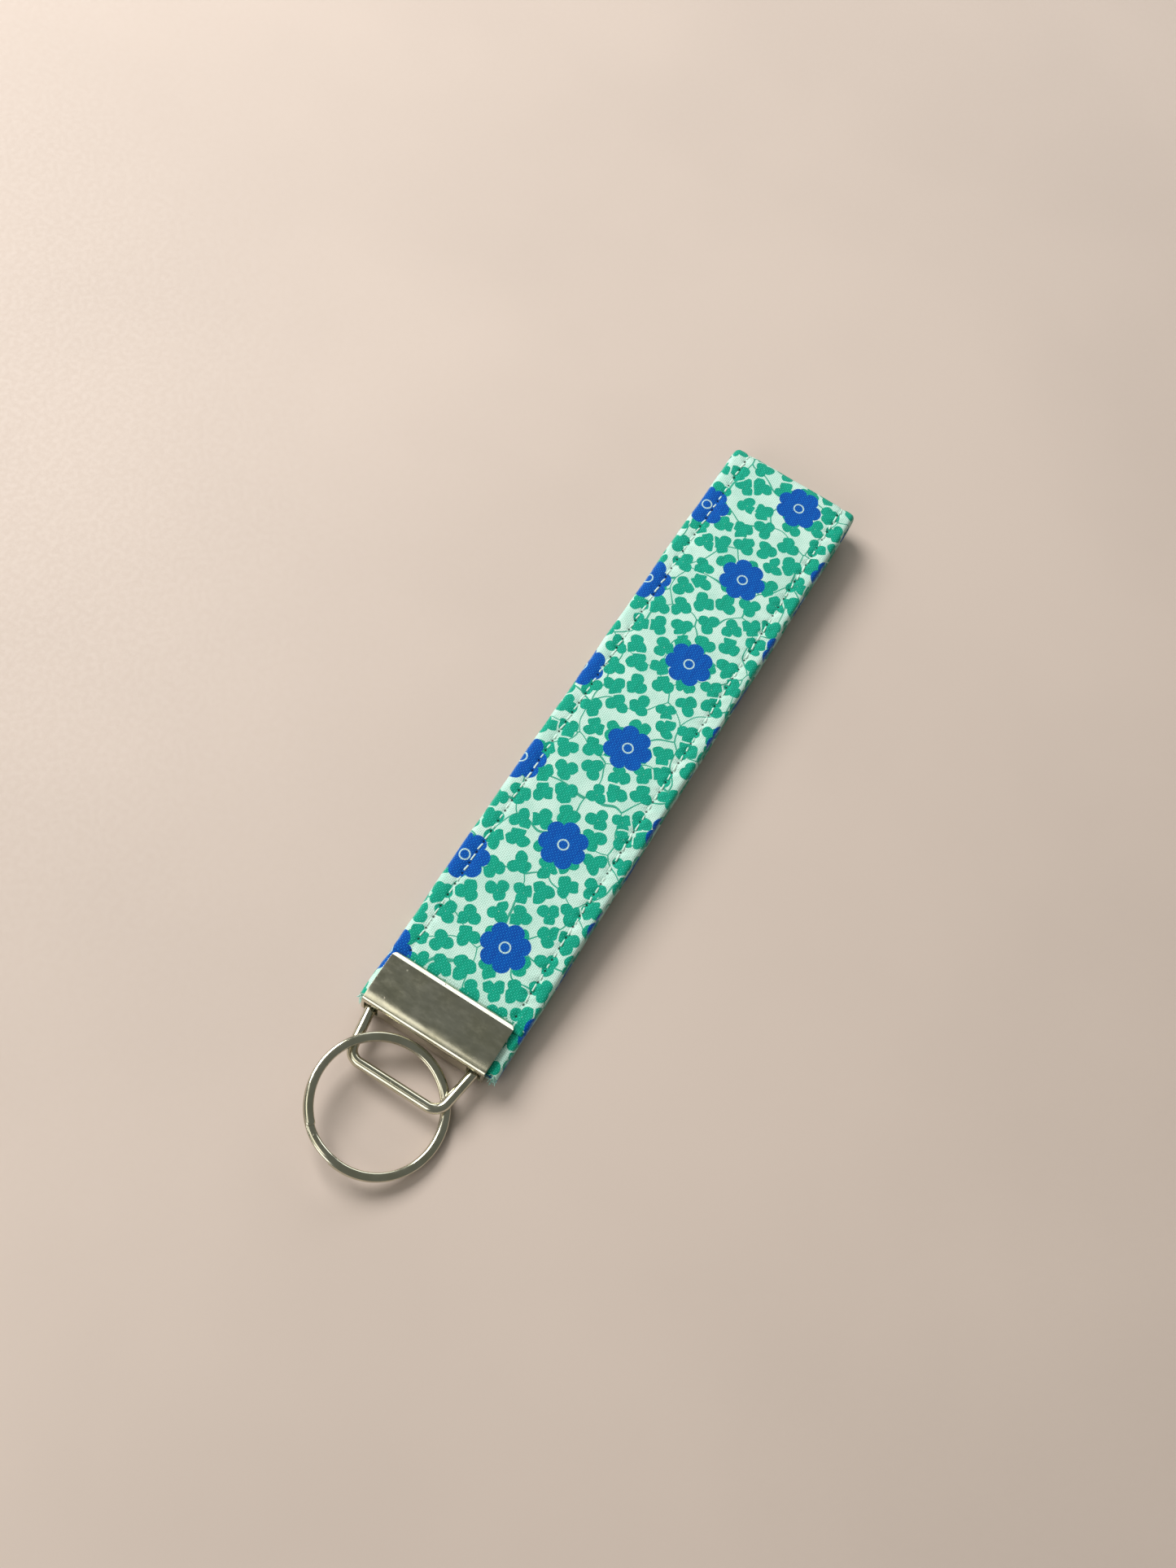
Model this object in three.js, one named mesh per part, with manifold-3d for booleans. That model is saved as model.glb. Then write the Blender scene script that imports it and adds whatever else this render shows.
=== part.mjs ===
// Wristlet key strap: a folded fabric strap held in a crimp clamp, with a wire bail and a split ring.
// Millimetres. X runs along the strap towards its fold, Y across it, Z up. The floor is z = 0.
import * as THREE from 'three';
import Module from 'manifold-3d';
import { mergeVertices } from 'three/addons/utils/BufferGeometryUtils.js';

// Strap
const STRAP_WIDTH = 28.6;
const STRAP_SHIFT = -0.65;      // the strap sits slightly off centre in the clamp
const LAYER = 2.3;              // thickness of one layer
const CRIMP = 0.1;              // how much the clamp squeezes each layer
const BITE = 0.64;              // how much more the teeth squeeze it
const SLEEVE_WALL = 0.4;
const SLEEVE_EDGE = 0.6;
const CORE_GAP = 0.25;
const SEAM_GAP = 0.3;
const BASE_LENGTH = 42.1;       // mouth to the hinge in the lower layer
const LINK = 74;                // length of the two stretches that tip up together
const LINK_RISE = 0.5;
const CROWN = 0.5;              // the upper layer stands this much above its hinge
const FOLD_LENGTH = 14;         // hinge in the lower layer to the tip of the fold

// Clamp
const CLAMP_WIDTH = 25.4;       // across the strap
const CLAMP_DEPTH = 10.8;       // spine to mouth
const CLAMP_WALL = 0.8;
const GRIP_GAP = 1 / 3;         // between the plates and the layers they hold
const CLAMP_HEIGHT = 2 * CLAMP_WALL + 2 * (LAYER - CRIMP) + 3 * GRIP_GAP;
const SPINE_RADIUS = 1.3;       // outside of the two spine bends
const LIP_RADIUS = 1.5;         // mouth corners, seen from above
const TOOTH_HEIGHT = 0.8;
const TOOTH_PITCH = 2.2;
const TOOTH_SETBACK = 0.9;      // mouth to the middle of the row of teeth
const TOOTH_LENGTH = 0.8;
const TOOTH_COUNT = Math.floor((CLAMP_WIDTH - 2 * LIP_RADIUS) / TOOTH_PITCH);
const MOUTH_X = CLAMP_DEPTH / 2;
const SPINE_X = -CLAMP_DEPTH / 2;

// Bail, a bent wire whose two ends turn in behind the spine
const WIRE_DIAMETER = 2.0;
const LEG_INSET = 2.0;          // side of the clamp to the centre of each leg
const BAIL_TAPER = 1.4;         // how much each leg leans in by the far bar
const BAIL_REACH = 9.0;         // spine to the centre of the bar
const BAIL_CORNER = 2.6;        // bend radius at the two far corners
const TOE_BEND = 1.5;           // bend radius behind the spine
const TOE_LENGTH = 2.2;
const TOE_GAP = 0.2;
const BAIL_ROOT_SPAN = CLAMP_WIDTH - 2 * LEG_INSET;
const BAIL_TIP_SPAN = BAIL_ROOT_SPAN - 2 * BAIL_TAPER;
const PIVOT_X = SPINE_X + CLAMP_WALL + TOE_GAP + WIRE_DIAMETER / 2;
const PIVOT_Z = CLAMP_HEIGHT / 2;
const SLOT_WIDTH = WIRE_DIAMETER + 0.9;
const SLOT_HEIGHT = WIRE_DIAMETER + 2.7;

// Raw ends of the strap, behind the bail's toes and beside them
const STRAP_START = PIVOT_X + WIRE_DIAMETER / 2 + 0.4;
const TAB_X = SPINE_X + CLAMP_WALL + 0.4;
const TAB_Y = BAIL_ROOT_SPAN / 2 + WIRE_DIAMETER / 2 + 0.4;

// Split ring, two flat turns of one wire with a step between them
const RING_OUTER = 25.6;
const RING_RADIAL = 1.65;       // wire size across the ring
const RING_AXIAL = 0.94;        // wire size along the ring's axis
const RING_TURN_GAP = 0.1;
const RING_STEP_ANGLE = 32;     // degrees taken by the step from one turn to the next
const RING_STEP_AT = 156;       // direction of the step
const RING_LOW_AT = -84;        // direction in which the ring slopes down
const RING_SPINE_GAP = 0.75;
const RING_REST_GAP = 0.1;      // between the ring and the wire it leans on

// The ring lies over one leg of the bail and under the other, and its low side is on the floor.
const RING_MEAN = (RING_OUTER - RING_RADIAL) / 2;
const RING_HALF_HEIGHT = RING_AXIAL + RING_TURN_GAP / 2;
const CROSSING_STEP = WIRE_DIAMETER / 2 + RING_HALF_HEIGHT + RING_REST_GAP;
const HIGH_CROSSING = Math.sqrt(RING_MEAN ** 2 - 7.65 ** 2);
const LOW_CROSSING = RING_MEAN - 1.35;
const RING_TILT = Math.asin(2 * CROSSING_STEP / (HIGH_CROSSING + LOW_CROSSING));
const RING_X = SPINE_X - RING_SPINE_GAP - RING_OUTER / 2;
const RING_Z = RING_MEAN * Math.sin(RING_TILT)
  + RING_HALF_HEIGHT * Math.cos(RING_TILT) + RING_RADIAL / 2 * Math.sin(RING_TILT);
const CROSSING_Z = RING_Z - LOW_CROSSING * Math.sin(RING_TILT) + CROSSING_STEP;
const BAIL_LIFT = (CROSSING_Z - PIVOT_Z) * 1.22;   // the far bar lies this much above the pivot

// Hinges of the loop, as [x, z]
const HALF = LAYER / 2;
const MOUTH_PIVOT = [MOUTH_X + 0.5, CLAMP_HEIGHT - CLAMP_WALL - 0.3];
const LOWER_PIVOT = [MOUTH_PIVOT[0] + BASE_LENGTH, HALF];
const FOLD_PIVOT = [LOWER_PIVOT[0] + LINK, LOWER_PIVOT[1] + LINK_RISE];
const UPPER_PIVOT = [MOUTH_PIVOT[0] + LINK, MOUTH_PIVOT[1] + LINK_RISE];
const UPPER_Z = UPPER_PIVOT[1] + CROWN + HALF;     // middle of the upper layer at its hinge
const FOLD_LOW = HALF + 0.02;                      // middle of the lower layer under the fold
const FOLD_RADIUS = (UPPER_Z - FOLD_LOW) / 2 + 0.06;
const FOLD_TIP = FOLD_PIVOT[0] + FOLD_LENGTH;

// Topstitching
const STITCH_INSET = 3.2;
const THREAD_WIDTH = 0.5;
const THREAD_HEIGHT = 0.3;
const THREAD_LIFT = 0.1;

const wasm = await Module();
wasm.setup();

const DEG = Math.PI / 180;

function material(color, metalness, roughness) {
  return new THREE.MeshStandardMaterial({ color, metalness, roughness });
}

function toSolid(geometry) {
  const bare = new THREE.BufferGeometry();
  bare.setAttribute('position', geometry.getAttribute('position').clone());
  if (geometry.index) bare.setIndex(geometry.index.clone());
  const welded = mergeVertices(bare, 1e-5);
  const mesh = new wasm.Mesh({
    numProp: 3,
    vertProperties: new Float32Array(welded.getAttribute('position').array),
    triVerts: new Uint32Array(welded.index.array),
  });
  mesh.merge();
  return new wasm.Manifold(mesh);
}

function toGeometry(solid) {
  const mesh = solid.getMesh();
  const geometry = new THREE.BufferGeometry();
  geometry.setAttribute('position', new THREE.BufferAttribute(mesh.vertProperties, 3));
  geometry.setIndex(new THREE.BufferAttribute(mesh.triVerts, 1));
  geometry.computeVertexNormals();
  return geometry;
}

// Extrudes an outline drawn in X and Z across the strap, from y0 to y1.
function acrossStrap(outline, y0, y1) {
  const geometry = new THREE.ExtrudeGeometry(outline, {
    depth: y1 - y0, bevelEnabled: false, curveSegments: 8,
  });
  geometry.rotateX(Math.PI / 2);
  geometry.translate(0, y1, 0);
  return geometry;
}

function box(x0, x1, y0, y1, z0, z1) {
  const geometry = new THREE.BoxGeometry(x1 - x0, y1 - y0, z1 - z0);
  geometry.translate((x0 + x1) / 2, (y0 + y1) / 2, (z0 + z1) / 2);
  return geometry;
}

// Sweeps a section along a curve. The section's x ends up along the curve's first normal.
function sweep(section, curve, steps) {
  return new THREE.ExtrudeGeometry(section, {
    steps, extrudePath: curve, bevelEnabled: false, curveSegments: 8,
  });
}

class PointCurve extends THREE.Curve {
  constructor(pointAt) {
    super();
    this.pointAt = pointAt;
  }

  getPoint(t, target = new THREE.Vector3()) {
    return target.copy(this.pointAt(t));
  }
}

// ---- Clamp

function clampOutline() {
  const front = CLAMP_DEPTH / 2;
  const back = -CLAMP_DEPTH / 2;
  const outer = SPINE_RADIUS;
  const inner = SPINE_RADIUS - CLAMP_WALL;
  const shape = new THREE.Shape();
  shape.moveTo(front, 0);
  shape.lineTo(front, CLAMP_WALL);
  shape.lineTo(back + outer, CLAMP_WALL);
  shape.absarc(back + outer, outer, inner, -Math.PI / 2, -Math.PI, true);
  shape.lineTo(back + CLAMP_WALL, CLAMP_HEIGHT - outer);
  shape.absarc(back + outer, CLAMP_HEIGHT - outer, inner, Math.PI, Math.PI / 2, true);
  shape.lineTo(front, CLAMP_HEIGHT - CLAMP_WALL);
  shape.lineTo(front, CLAMP_HEIGHT);
  shape.lineTo(back + outer, CLAMP_HEIGHT);
  shape.absarc(back + outer, CLAMP_HEIGHT - outer, outer, Math.PI / 2, Math.PI, false);
  shape.lineTo(back, outer);
  shape.absarc(back + outer, outer, outer, Math.PI, Math.PI * 1.5, false);
  shape.closePath();
  return shape;
}

function clampPlan() {
  const front = CLAMP_DEPTH / 2;
  const back = -CLAMP_DEPTH / 2 - 1;
  const side = CLAMP_WIDTH / 2;
  const shape = new THREE.Shape();
  shape.moveTo(back, -side);
  shape.lineTo(front - LIP_RADIUS, -side);
  shape.absarc(front - LIP_RADIUS, -side + LIP_RADIUS, LIP_RADIUS, -Math.PI / 2, 0, false);
  shape.lineTo(front, side - LIP_RADIUS);
  shape.absarc(front - LIP_RADIUS, side - LIP_RADIUS, LIP_RADIUS, 0, Math.PI / 2, false);
  shape.lineTo(back, side);
  shape.closePath();
  const geometry = new THREE.ExtrudeGeometry(shape, {
    depth: CLAMP_HEIGHT + 2, bevelEnabled: false, curveSegments: 6,
  });
  geometry.translate(0, 0, -1);
  return geometry;
}

// One triangular tooth; side is 1 for the bottom plate and -1 for the top plate.
function tooth(y, side) {
  const root = side > 0 ? CLAMP_WALL - 0.2 : CLAMP_HEIGHT - CLAMP_WALL + 0.2;
  const tip = side > 0 ? CLAMP_WALL + TOOTH_HEIGHT : CLAMP_HEIGHT - CLAMP_WALL - TOOTH_HEIGHT;
  const half = TOOTH_PITCH * 0.42;
  const shape = new THREE.Shape();
  shape.moveTo(y - half, root);
  shape.lineTo(y + half, root);
  shape.lineTo(y, tip);
  shape.closePath();
  const geometry = new THREE.ExtrudeGeometry(shape, { depth: TOOTH_LENGTH, bevelEnabled: false });
  geometry.rotateX(Math.PI / 2);
  geometry.rotateZ(Math.PI / 2);
  geometry.translate(MOUTH_X - TOOTH_SETBACK - TOOTH_LENGTH / 2, 0, 0);
  return geometry;
}

function clampSolid() {
  const side = CLAMP_WIDTH / 2;
  let solid = toSolid(acrossStrap(clampOutline(), -side, side));
  solid = solid.intersect(toSolid(clampPlan()));
  for (const sign of [-1, 1]) {
    const y = sign * BAIL_ROOT_SPAN / 2;
    solid = solid.subtract(toSolid(box(
      -CLAMP_DEPTH / 2 - 1, -CLAMP_DEPTH / 2 + CLAMP_WALL + 0.6,
      y - SLOT_WIDTH / 2, y + SLOT_WIDTH / 2,
      PIVOT_Z - SLOT_HEIGHT / 2, PIVOT_Z + SLOT_HEIGHT / 2,
    )));
  }
  for (let i = 0; i < TOOTH_COUNT; i += 1) {
    const y = (i - (TOOTH_COUNT - 1) / 2) * TOOTH_PITCH;
    solid = solid.add(toSolid(tooth(y, 1)));
    solid = solid.add(toSolid(tooth(y, -1)));
  }
  return solid;
}

// ---- Bail

// A chain of straight runs joined by round bends, as points with even spacing on the bends.
function bentWire(corners, radii) {
  const points = [corners[0].clone()];
  for (let i = 1; i < corners.length - 1; i += 1) {
    const before = corners[i - 1].clone().sub(corners[i]).normalize();
    const after = corners[i + 1].clone().sub(corners[i]).normalize();
    const half = before.angleTo(after) / 2;
    const reach = radii[i] / Math.tan(half);
    const middle = before.clone().add(after).normalize().multiplyScalar(radii[i] / Math.sin(half));
    const centre = corners[i].clone().add(middle);
    const start = corners[i].clone().addScaledVector(before, reach).sub(centre);
    const end = corners[i].clone().addScaledVector(after, reach).sub(centre);
    const axis = start.clone().cross(end).normalize();
    const sweepAngle = start.angleTo(end);
    const steps = 8;
    for (let s = 0; s <= steps; s += 1) {
      points.push(start.clone().applyAxisAngle(axis, sweepAngle * s / steps).add(centre));
    }
  }
  points.push(corners[corners.length - 1].clone());
  return points;
}

function polyline(points) {
  const path = new THREE.CurvePath();
  for (let i = 1; i < points.length; i += 1) {
    path.add(new THREE.LineCurve3(points[i - 1], points[i]));
  }
  return path;
}

function bailSolid() {
  const root = BAIL_ROOT_SPAN / 2;
  const tip = BAIL_TIP_SPAN / 2;
  const bar = -CLAMP_DEPTH / 2 - BAIL_REACH;
  const slope = (root - tip) / BAIL_REACH;
  const toe = root + slope * (PIVOT_X + CLAMP_DEPTH / 2);
  const v = (x, y) => new THREE.Vector3(x, y, PIVOT_Z + (x === bar ? BAIL_LIFT : 0));
  const corners = [
    v(PIVOT_X, toe - TOE_LENGTH - TOE_BEND), v(PIVOT_X, toe), v(bar, tip),
    v(bar, -tip), v(PIVOT_X, -toe), v(PIVOT_X, -toe + TOE_LENGTH + TOE_BEND),
  ];
  const path = polyline(bentWire(corners, [0, TOE_BEND, BAIL_CORNER, BAIL_CORNER, TOE_BEND, 0]));
  const section = new THREE.Shape();
  section.absarc(0, 0, WIRE_DIAMETER / 2, 0, Math.PI * 2, false);
  return toSolid(sweep(section, path, 72));
}

// ---- Split ring

function ringSolid() {
  const rise = RING_AXIAL + RING_TURN_GAP;
  const step = RING_STEP_ANGLE;
  const first = step / 2 + 1;
  const last = 720 - step / 2 - 1;
  const curve = new PointCurve((t) => {
    const angle = first + (last - first) * t;
    const along = THREE.MathUtils.clamp((angle - 360 + step / 2) / step, 0, 1);
    const height = rise * (along * along * (3 - 2 * along) - 0.5);
    const turn = (angle + RING_STEP_AT) * DEG;
    return new THREE.Vector3(RING_MEAN * Math.cos(turn), RING_MEAN * Math.sin(turn), height);
  });
  const a = RING_AXIAL / 2;
  const r = RING_RADIAL / 2;
  const cut = 0.25;
  const section = new THREE.Shape();
  section.moveTo(-a, -r + cut);
  section.lineTo(-a + cut, -r);
  section.lineTo(a - cut, -r);
  section.lineTo(a, -r + cut);
  section.lineTo(a, r - cut);
  section.lineTo(a - cut, r);
  section.lineTo(-a + cut, r);
  section.lineTo(-a, r - cut);
  section.closePath();
  const geometry = sweep(section, curve, 132);
  const low = new THREE.Vector3(Math.cos(RING_LOW_AT * DEG), Math.sin(RING_LOW_AT * DEG), 0);
  const hinge = new THREE.Vector3(0, 0, 1).cross(low);
  geometry.applyMatrix4(new THREE.Matrix4().makeRotationAxis(hinge, RING_TILT));
  geometry.translate(RING_X, 0.06, RING_Z);
  return toSolid(geometry);
}

// ---- Strap

// Each station along a stretch is [x, z, half thickness]; normals come from the neighbours.
function withNormals(stations) {
  return stations.map(([x, z, half], i) => {
    const a = stations[Math.max(0, i - 1)];
    const b = stations[Math.min(stations.length - 1, i + 1)];
    const length = Math.hypot(b[0] - a[0], b[1] - a[1]);
    return { x, z, half, nx: -(b[1] - a[1]) / length, nz: (b[0] - a[0]) / length };
  });
}

// Outline of a layer: low and high are offsets from each face, inwards positive.
function layerOutline(stations, low, high, trim) {
  const list = withNormals(stations);
  const top = list.map((s) => [s.x + s.nx * (s.half - high), s.z + s.nz * (s.half - high)]);
  const bottom = list.map((s) => [s.x - s.nx * (s.half - low), s.z - s.nz * (s.half - low)]);
  const shift = (points, i, j, by) => {
    const length = Math.hypot(points[i][0] - points[j][0], points[i][1] - points[j][1]);
    points[i] = [
      points[i][0] + (points[i][0] - points[j][0]) / length * by,
      points[i][1] + (points[i][1] - points[j][1]) / length * by,
    ];
  };
  for (const points of [top, bottom]) {
    shift(points, 0, 1, -trim);
    shift(points, points.length - 1, points.length - 2, -trim);
  }
  const shape = new THREE.Shape();
  [...bottom, ...top.reverse()].forEach(([x, z], i) => {
    if (i === 0) shape.moveTo(x, z);
    else shape.lineTo(x, z);
  });
  shape.closePath();
  return shape;
}

const STRAP_LOW = STRAP_SHIFT - STRAP_WIDTH / 2;
const STRAP_HIGH = STRAP_SHIFT + STRAP_WIDTH / 2;

function roundNose(solid, [x, z], y0, y1, half) {
  const nose = new THREE.CylinderGeometry(half, half, y1 - y0, 24);
  nose.translate(x, (y0 + y1) / 2, z);
  return solid.add(toSolid(nose));
}

// A stretch of sleeve: the outer layer, less the tunnel that holds the core.
function sleeveSolid(stations, noses) {
  let solid = toSolid(acrossStrap(layerOutline(stations, 0, 0, 0), STRAP_LOW, STRAP_HIGH));
  for (const nose of noses) solid = roundNose(solid, nose, STRAP_LOW, STRAP_HIGH, LAYER / 2);
  const y0 = STRAP_LOW + SLEEVE_EDGE;
  const y1 = STRAP_HIGH - SLEEVE_EDGE;
  const past = -(LAYER + 1);
  const tunnel = acrossStrap(layerOutline(stations, SLEEVE_WALL, SLEEVE_WALL, past), y0, y1);
  return solid.subtract(toSolid(tunnel));
}

function coreSolid(stations, trim) {
  const inset = SLEEVE_WALL + CORE_GAP;
  const y0 = STRAP_LOW + SLEEVE_EDGE + CORE_GAP;
  const y1 = STRAP_HIGH - SLEEVE_EDGE - CORE_GAP;
  return toSolid(acrossStrap(layerOutline(stations, inset, inset, trim), y0, y1));
}

function threadSolid(stations, side, trim, outside) {
  const centre = STRAP_SHIFT + side * (STRAP_WIDTH / 2 - STITCH_INSET);
  const near = -(THREAD_LIFT + THREAD_HEIGHT);
  const outline = outside > 0
    ? threadOutline(stations, trim, THREAD_LIFT, -near)
    : threadOutline(stations, trim, near, -THREAD_LIFT);
  return toSolid(acrossStrap(outline, centre - THREAD_WIDTH / 2, centre + THREAD_WIDTH / 2));
}

// Outline of a thin line that follows one face of a layer, between two heights above that face.
function threadOutline(stations, trim, from, to) {
  const sign = Math.sign(from + to);
  const lifted = stations.map(([x, z, half], i, all) => {
    const s = withNormals(all)[i];
    const rise = sign * half + (from + to) / 2;
    return [x + s.nx * rise, z + s.nz * rise, (to - from) / 2];
  });
  return layerOutline(lifted, 0, 0, trim);
}

// Stations along a smooth line through the given [x, z] points.
function smoothStations(points, count, half) {
  const curve = new THREE.SplineCurve(points.map(([x, z]) => new THREE.Vector2(x, z)));
  return curve.getSpacedPoints(count).map((p) => [p.x, p.y, half]);
}

const CRIMPED = (LAYER - CRIMP) / 2;
const BITTEN = CRIMPED - BITE / 2;
const LOW_GRIP = CLAMP_WALL + GRIP_GAP + CRIMPED;
const HIGH_GRIP = CLAMP_HEIGHT - LOW_GRIP;

// The lower layer, from the raw end in the clamp down onto the floor, to its flat end.
const lowerFront = [
  [TAB_X, LOW_GRIP, CRIMPED], [MOUTH_X - 2.2, LOW_GRIP, CRIMPED],
  [MOUTH_X - 1.6, LOW_GRIP + 0.36, BITTEN], [MOUTH_X - 0.2, LOW_GRIP + 0.36, BITTEN],
  [MOUTH_X + 0.8, LOW_GRIP + 0.05, CRIMPED], [MOUTH_X + 2.2, HALF + 0.8, HALF],
  [MOUTH_X + 4.2, HALF + 0.35, HALF], [MOUTH_X + 6.6, HALF + 0.05, HALF],
  [MOUTH_X + 8.6, HALF, HALF], [LOWER_PIVOT[0] - HALF - SEAM_GAP, HALF, HALF],
];

// The upper layer's raw end, held in the clamp.
const clampedEnd = [
  [TAB_X, HIGH_GRIP, CRIMPED], [MOUTH_X - 2.2, HIGH_GRIP, CRIMPED],
  [MOUTH_X - 1.6, HIGH_GRIP - 0.36, BITTEN], [MOUTH_X - 0.2, HIGH_GRIP - 0.36, BITTEN],
  [MOUTH_PIVOT[0] - SEAM_GAP / 2, HIGH_GRIP - 0.2, BITTEN + 0.15],
];

const lowerBack = [[...LOWER_PIVOT, HALF], [...FOLD_PIVOT, HALF]];

// The upper layer rises quickly from the mouth and then flattens out: [share of the run, of the rise].
const upperRun = UPPER_PIVOT[0] - MOUTH_PIVOT[0] - SEAM_GAP;
const upperLow = MOUTH_PIVOT[1] - HALF;
const upperFront = smoothStations([
  [0, 0], [0.076, 0.176], [0.202, 0.446], [0.378, 0.697], [0.578, 0.87], [0.779, 0.964], [1, 1],
].map(([run, rise]) => [
  MOUTH_PIVOT[0] + SEAM_GAP / 2 + run * upperRun, upperLow + rise * (UPPER_Z - upperLow),
]), 20, HALF);

function foldStations() {
  const centreX = FOLD_TIP - HALF - FOLD_RADIUS;
  const startX = FOLD_PIVOT[0] + HALF + SEAM_GAP;
  const stations = [
    [startX, FOLD_PIVOT[1] - 0.05, HALF], [startX + 3.4, FOLD_LOW + 0.21, HALF],
  ];
  const steps = 14;
  for (let i = 0; i <= steps; i += 1) {
    const angle = (-84 + 170 * i / steps) * DEG;
    stations.push([
      centreX + FOLD_RADIUS * Math.cos(angle),
      FOLD_LOW + FOLD_RADIUS * (1 + Math.sin(angle)), HALF,
    ]);
  }
  const last = stations[stations.length - 1];
  const startBack = UPPER_PIVOT[0] + SEAM_GAP / 2;
  const back = smoothStations([
    last.slice(0, 2),
    ...[[0.82, 0.23], [0.56, 0.27], [0.3, 0.19], [0, 0]].map(([share, rise]) => [
      startBack + share * (last[0] - startBack), UPPER_Z + rise,
    ]),
  ], 9, HALF);
  return [...stations, ...back.slice(1)];
}

const fold = foldStations();

const notch = toSolid(box(
  TAB_X - 2, STRAP_START, -TAB_Y, TAB_Y, 0, CLAMP_HEIGHT,
));

const fabric = () => material(0x9ccfb4, 0, 0.9);
const webbing = () => material(0xe9e6dc, 0, 0.9);
const nickel = () => material(0xb9b7a8, 1, 0.22);
const thread = () => material(0xf4f2ea, 0, 0.7);

const group = new THREE.Group();

function add(name, solid, surface) {
  const mesh = new THREE.Mesh(toGeometry(solid), surface);
  mesh.name = name;
  group.add(mesh);
}

add('clamp', clampSolid(), nickel());
add('bail', bailSolid(), nickel());
add('split_ring', ringSolid(), nickel());

const noses = { lower_back: lowerBack.map(([x, z]) => [x, z]) };
const stretches = {
  lower_front: lowerFront,
  clamped_end: clampedEnd,
  lower_back: lowerBack,
  fold,
  upper_front: upperFront,
};
for (const [name, stations] of Object.entries(stretches)) {
  const inClamp = stations[0][0] === TAB_X;
  const sleeve = sleeveSolid(stations, noses[name] ?? []);
  add(`sleeve_${name}`, inClamp ? sleeve.subtract(notch) : sleeve, fabric());
  const coreStations = inClamp ? [[STRAP_START, ...stations[0].slice(1)], ...stations.slice(1)] : stations;
  add(`core_${name}`, coreSolid(coreStations, 0.1), webbing());
}

// Topstitching: on the upper face of the lower runs, and on the outside from the fold's tip on.
const foldOutside = fold.slice(6);
const stitched = {
  lower_front: [lowerFront.slice(5), 1],
  lower_back: [lowerBack, 1],
  fold: [foldOutside, -1],
  upper_front: [upperFront, 1],
};
for (const [name, [stations, outside]] of Object.entries(stitched)) {
  for (const side of [-1, 1]) {
    const label = side > 0 ? 'left' : 'right';
    add(`topstitch_${label}_${name}`, threadSolid(stations, side, 0.4, outside), thread());
  }
}

export default group;
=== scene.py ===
"""Printed fabric wristlet keychain: a folded strap held by a nickel clamp, with a wire bail and a split ring."""

import math
import random

import bmesh
import bpy
import numpy as np
from bpy.props import FloatProperty, FloatVectorProperty, IntProperty, PointerProperty
from mathutils import Matrix, Vector


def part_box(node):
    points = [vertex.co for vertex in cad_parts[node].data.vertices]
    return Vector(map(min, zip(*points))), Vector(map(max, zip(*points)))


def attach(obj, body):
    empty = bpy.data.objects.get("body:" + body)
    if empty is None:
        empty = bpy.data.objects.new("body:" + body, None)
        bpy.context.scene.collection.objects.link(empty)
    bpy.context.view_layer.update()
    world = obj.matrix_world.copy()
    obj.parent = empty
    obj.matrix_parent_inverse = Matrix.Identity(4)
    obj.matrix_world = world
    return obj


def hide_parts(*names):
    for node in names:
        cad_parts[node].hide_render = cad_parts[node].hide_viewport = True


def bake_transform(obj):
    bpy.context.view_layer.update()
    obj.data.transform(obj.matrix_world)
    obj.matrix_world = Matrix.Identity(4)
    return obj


bl_info = {
    "name": "Wristlet Keychain",
    "version": (1, 0, 0),
    "blender": (4, 5, 0),
    "location": "3D View > Sidebar > Keychain",
    "description": "Builds a printed fabric wristlet with its clamp, bail and split ring",
    "category": "Object",
}

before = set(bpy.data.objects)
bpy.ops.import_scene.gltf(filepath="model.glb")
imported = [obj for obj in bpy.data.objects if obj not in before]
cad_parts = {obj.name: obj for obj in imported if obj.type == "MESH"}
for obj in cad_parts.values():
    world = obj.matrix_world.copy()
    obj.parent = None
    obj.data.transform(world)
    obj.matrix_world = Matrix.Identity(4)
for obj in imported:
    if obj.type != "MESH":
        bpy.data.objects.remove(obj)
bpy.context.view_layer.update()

MM = 0.001
CLAMP_LOW, CLAMP_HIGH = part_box("clamp")

# ---------------------------------------------------------------- strap route

# Middle line of the strap in X and Z, with half its thickness, in millimetres:
# from the raw end in the clamp, out along the floor, round the fold and back to the mouth.
LOWER_RUN = [
    (-4.2, 2.233, 1.10), (3.2, 2.233, 1.10), (3.8, 2.593, 0.78), (5.2, 2.593, 0.78),
    (6.2, 2.283, 1.10), (7.6, 1.95, 1.15), (9.6, 1.50, 1.15), (12.0, 1.20, 1.15),
    (14.0, 1.15, 1.15), (30.0, 1.15, 1.15), (48.0, 1.15, 1.15), (66.5, 1.275, 1.15),
    (85.0, 1.40, 1.15), (103.5, 1.525, 1.15), (119.0, 1.63, 1.15), (123.45, 1.60, 1.15),
    (126.85, 1.38, 1.15),
]
FOLD_CENTRE = (131.35, 1.17, 3.5)      # middle X, lowest Z and radius of the fold
FOLD_BACK = [(0.82, 0.23), (0.56, 0.27), (0.30, 0.19), (0.0, 0.0)]
UPPER_START, UPPER_END = (79.75, 8.05), (6.05, 4.75)
UPPER_SHAPE = [(0.779, 0.964), (0.578, 0.87), (0.378, 0.697), (0.202, 0.446), (0.076, 0.176), (0.0, 0.0)]
CLAMPED_RUN = [
    (5.75, 4.62, 0.98), (5.2, 4.407, 0.78), (3.8, 4.407, 0.78), (3.2, 4.767, 1.10), (-4.2, 4.767, 1.10),
]
NOTCH_DEPTH, NOTCH_HALF = 2.2, 12.1    # the raw end is cut back between its two corners

MOUTH_X = 5.95
NOSE_CENTRE = (5.75, 4.75)
SEAMS = (85.0, 98.0, 43.0)             # where the cover pieces meet: lower run, then upper run twice

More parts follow.
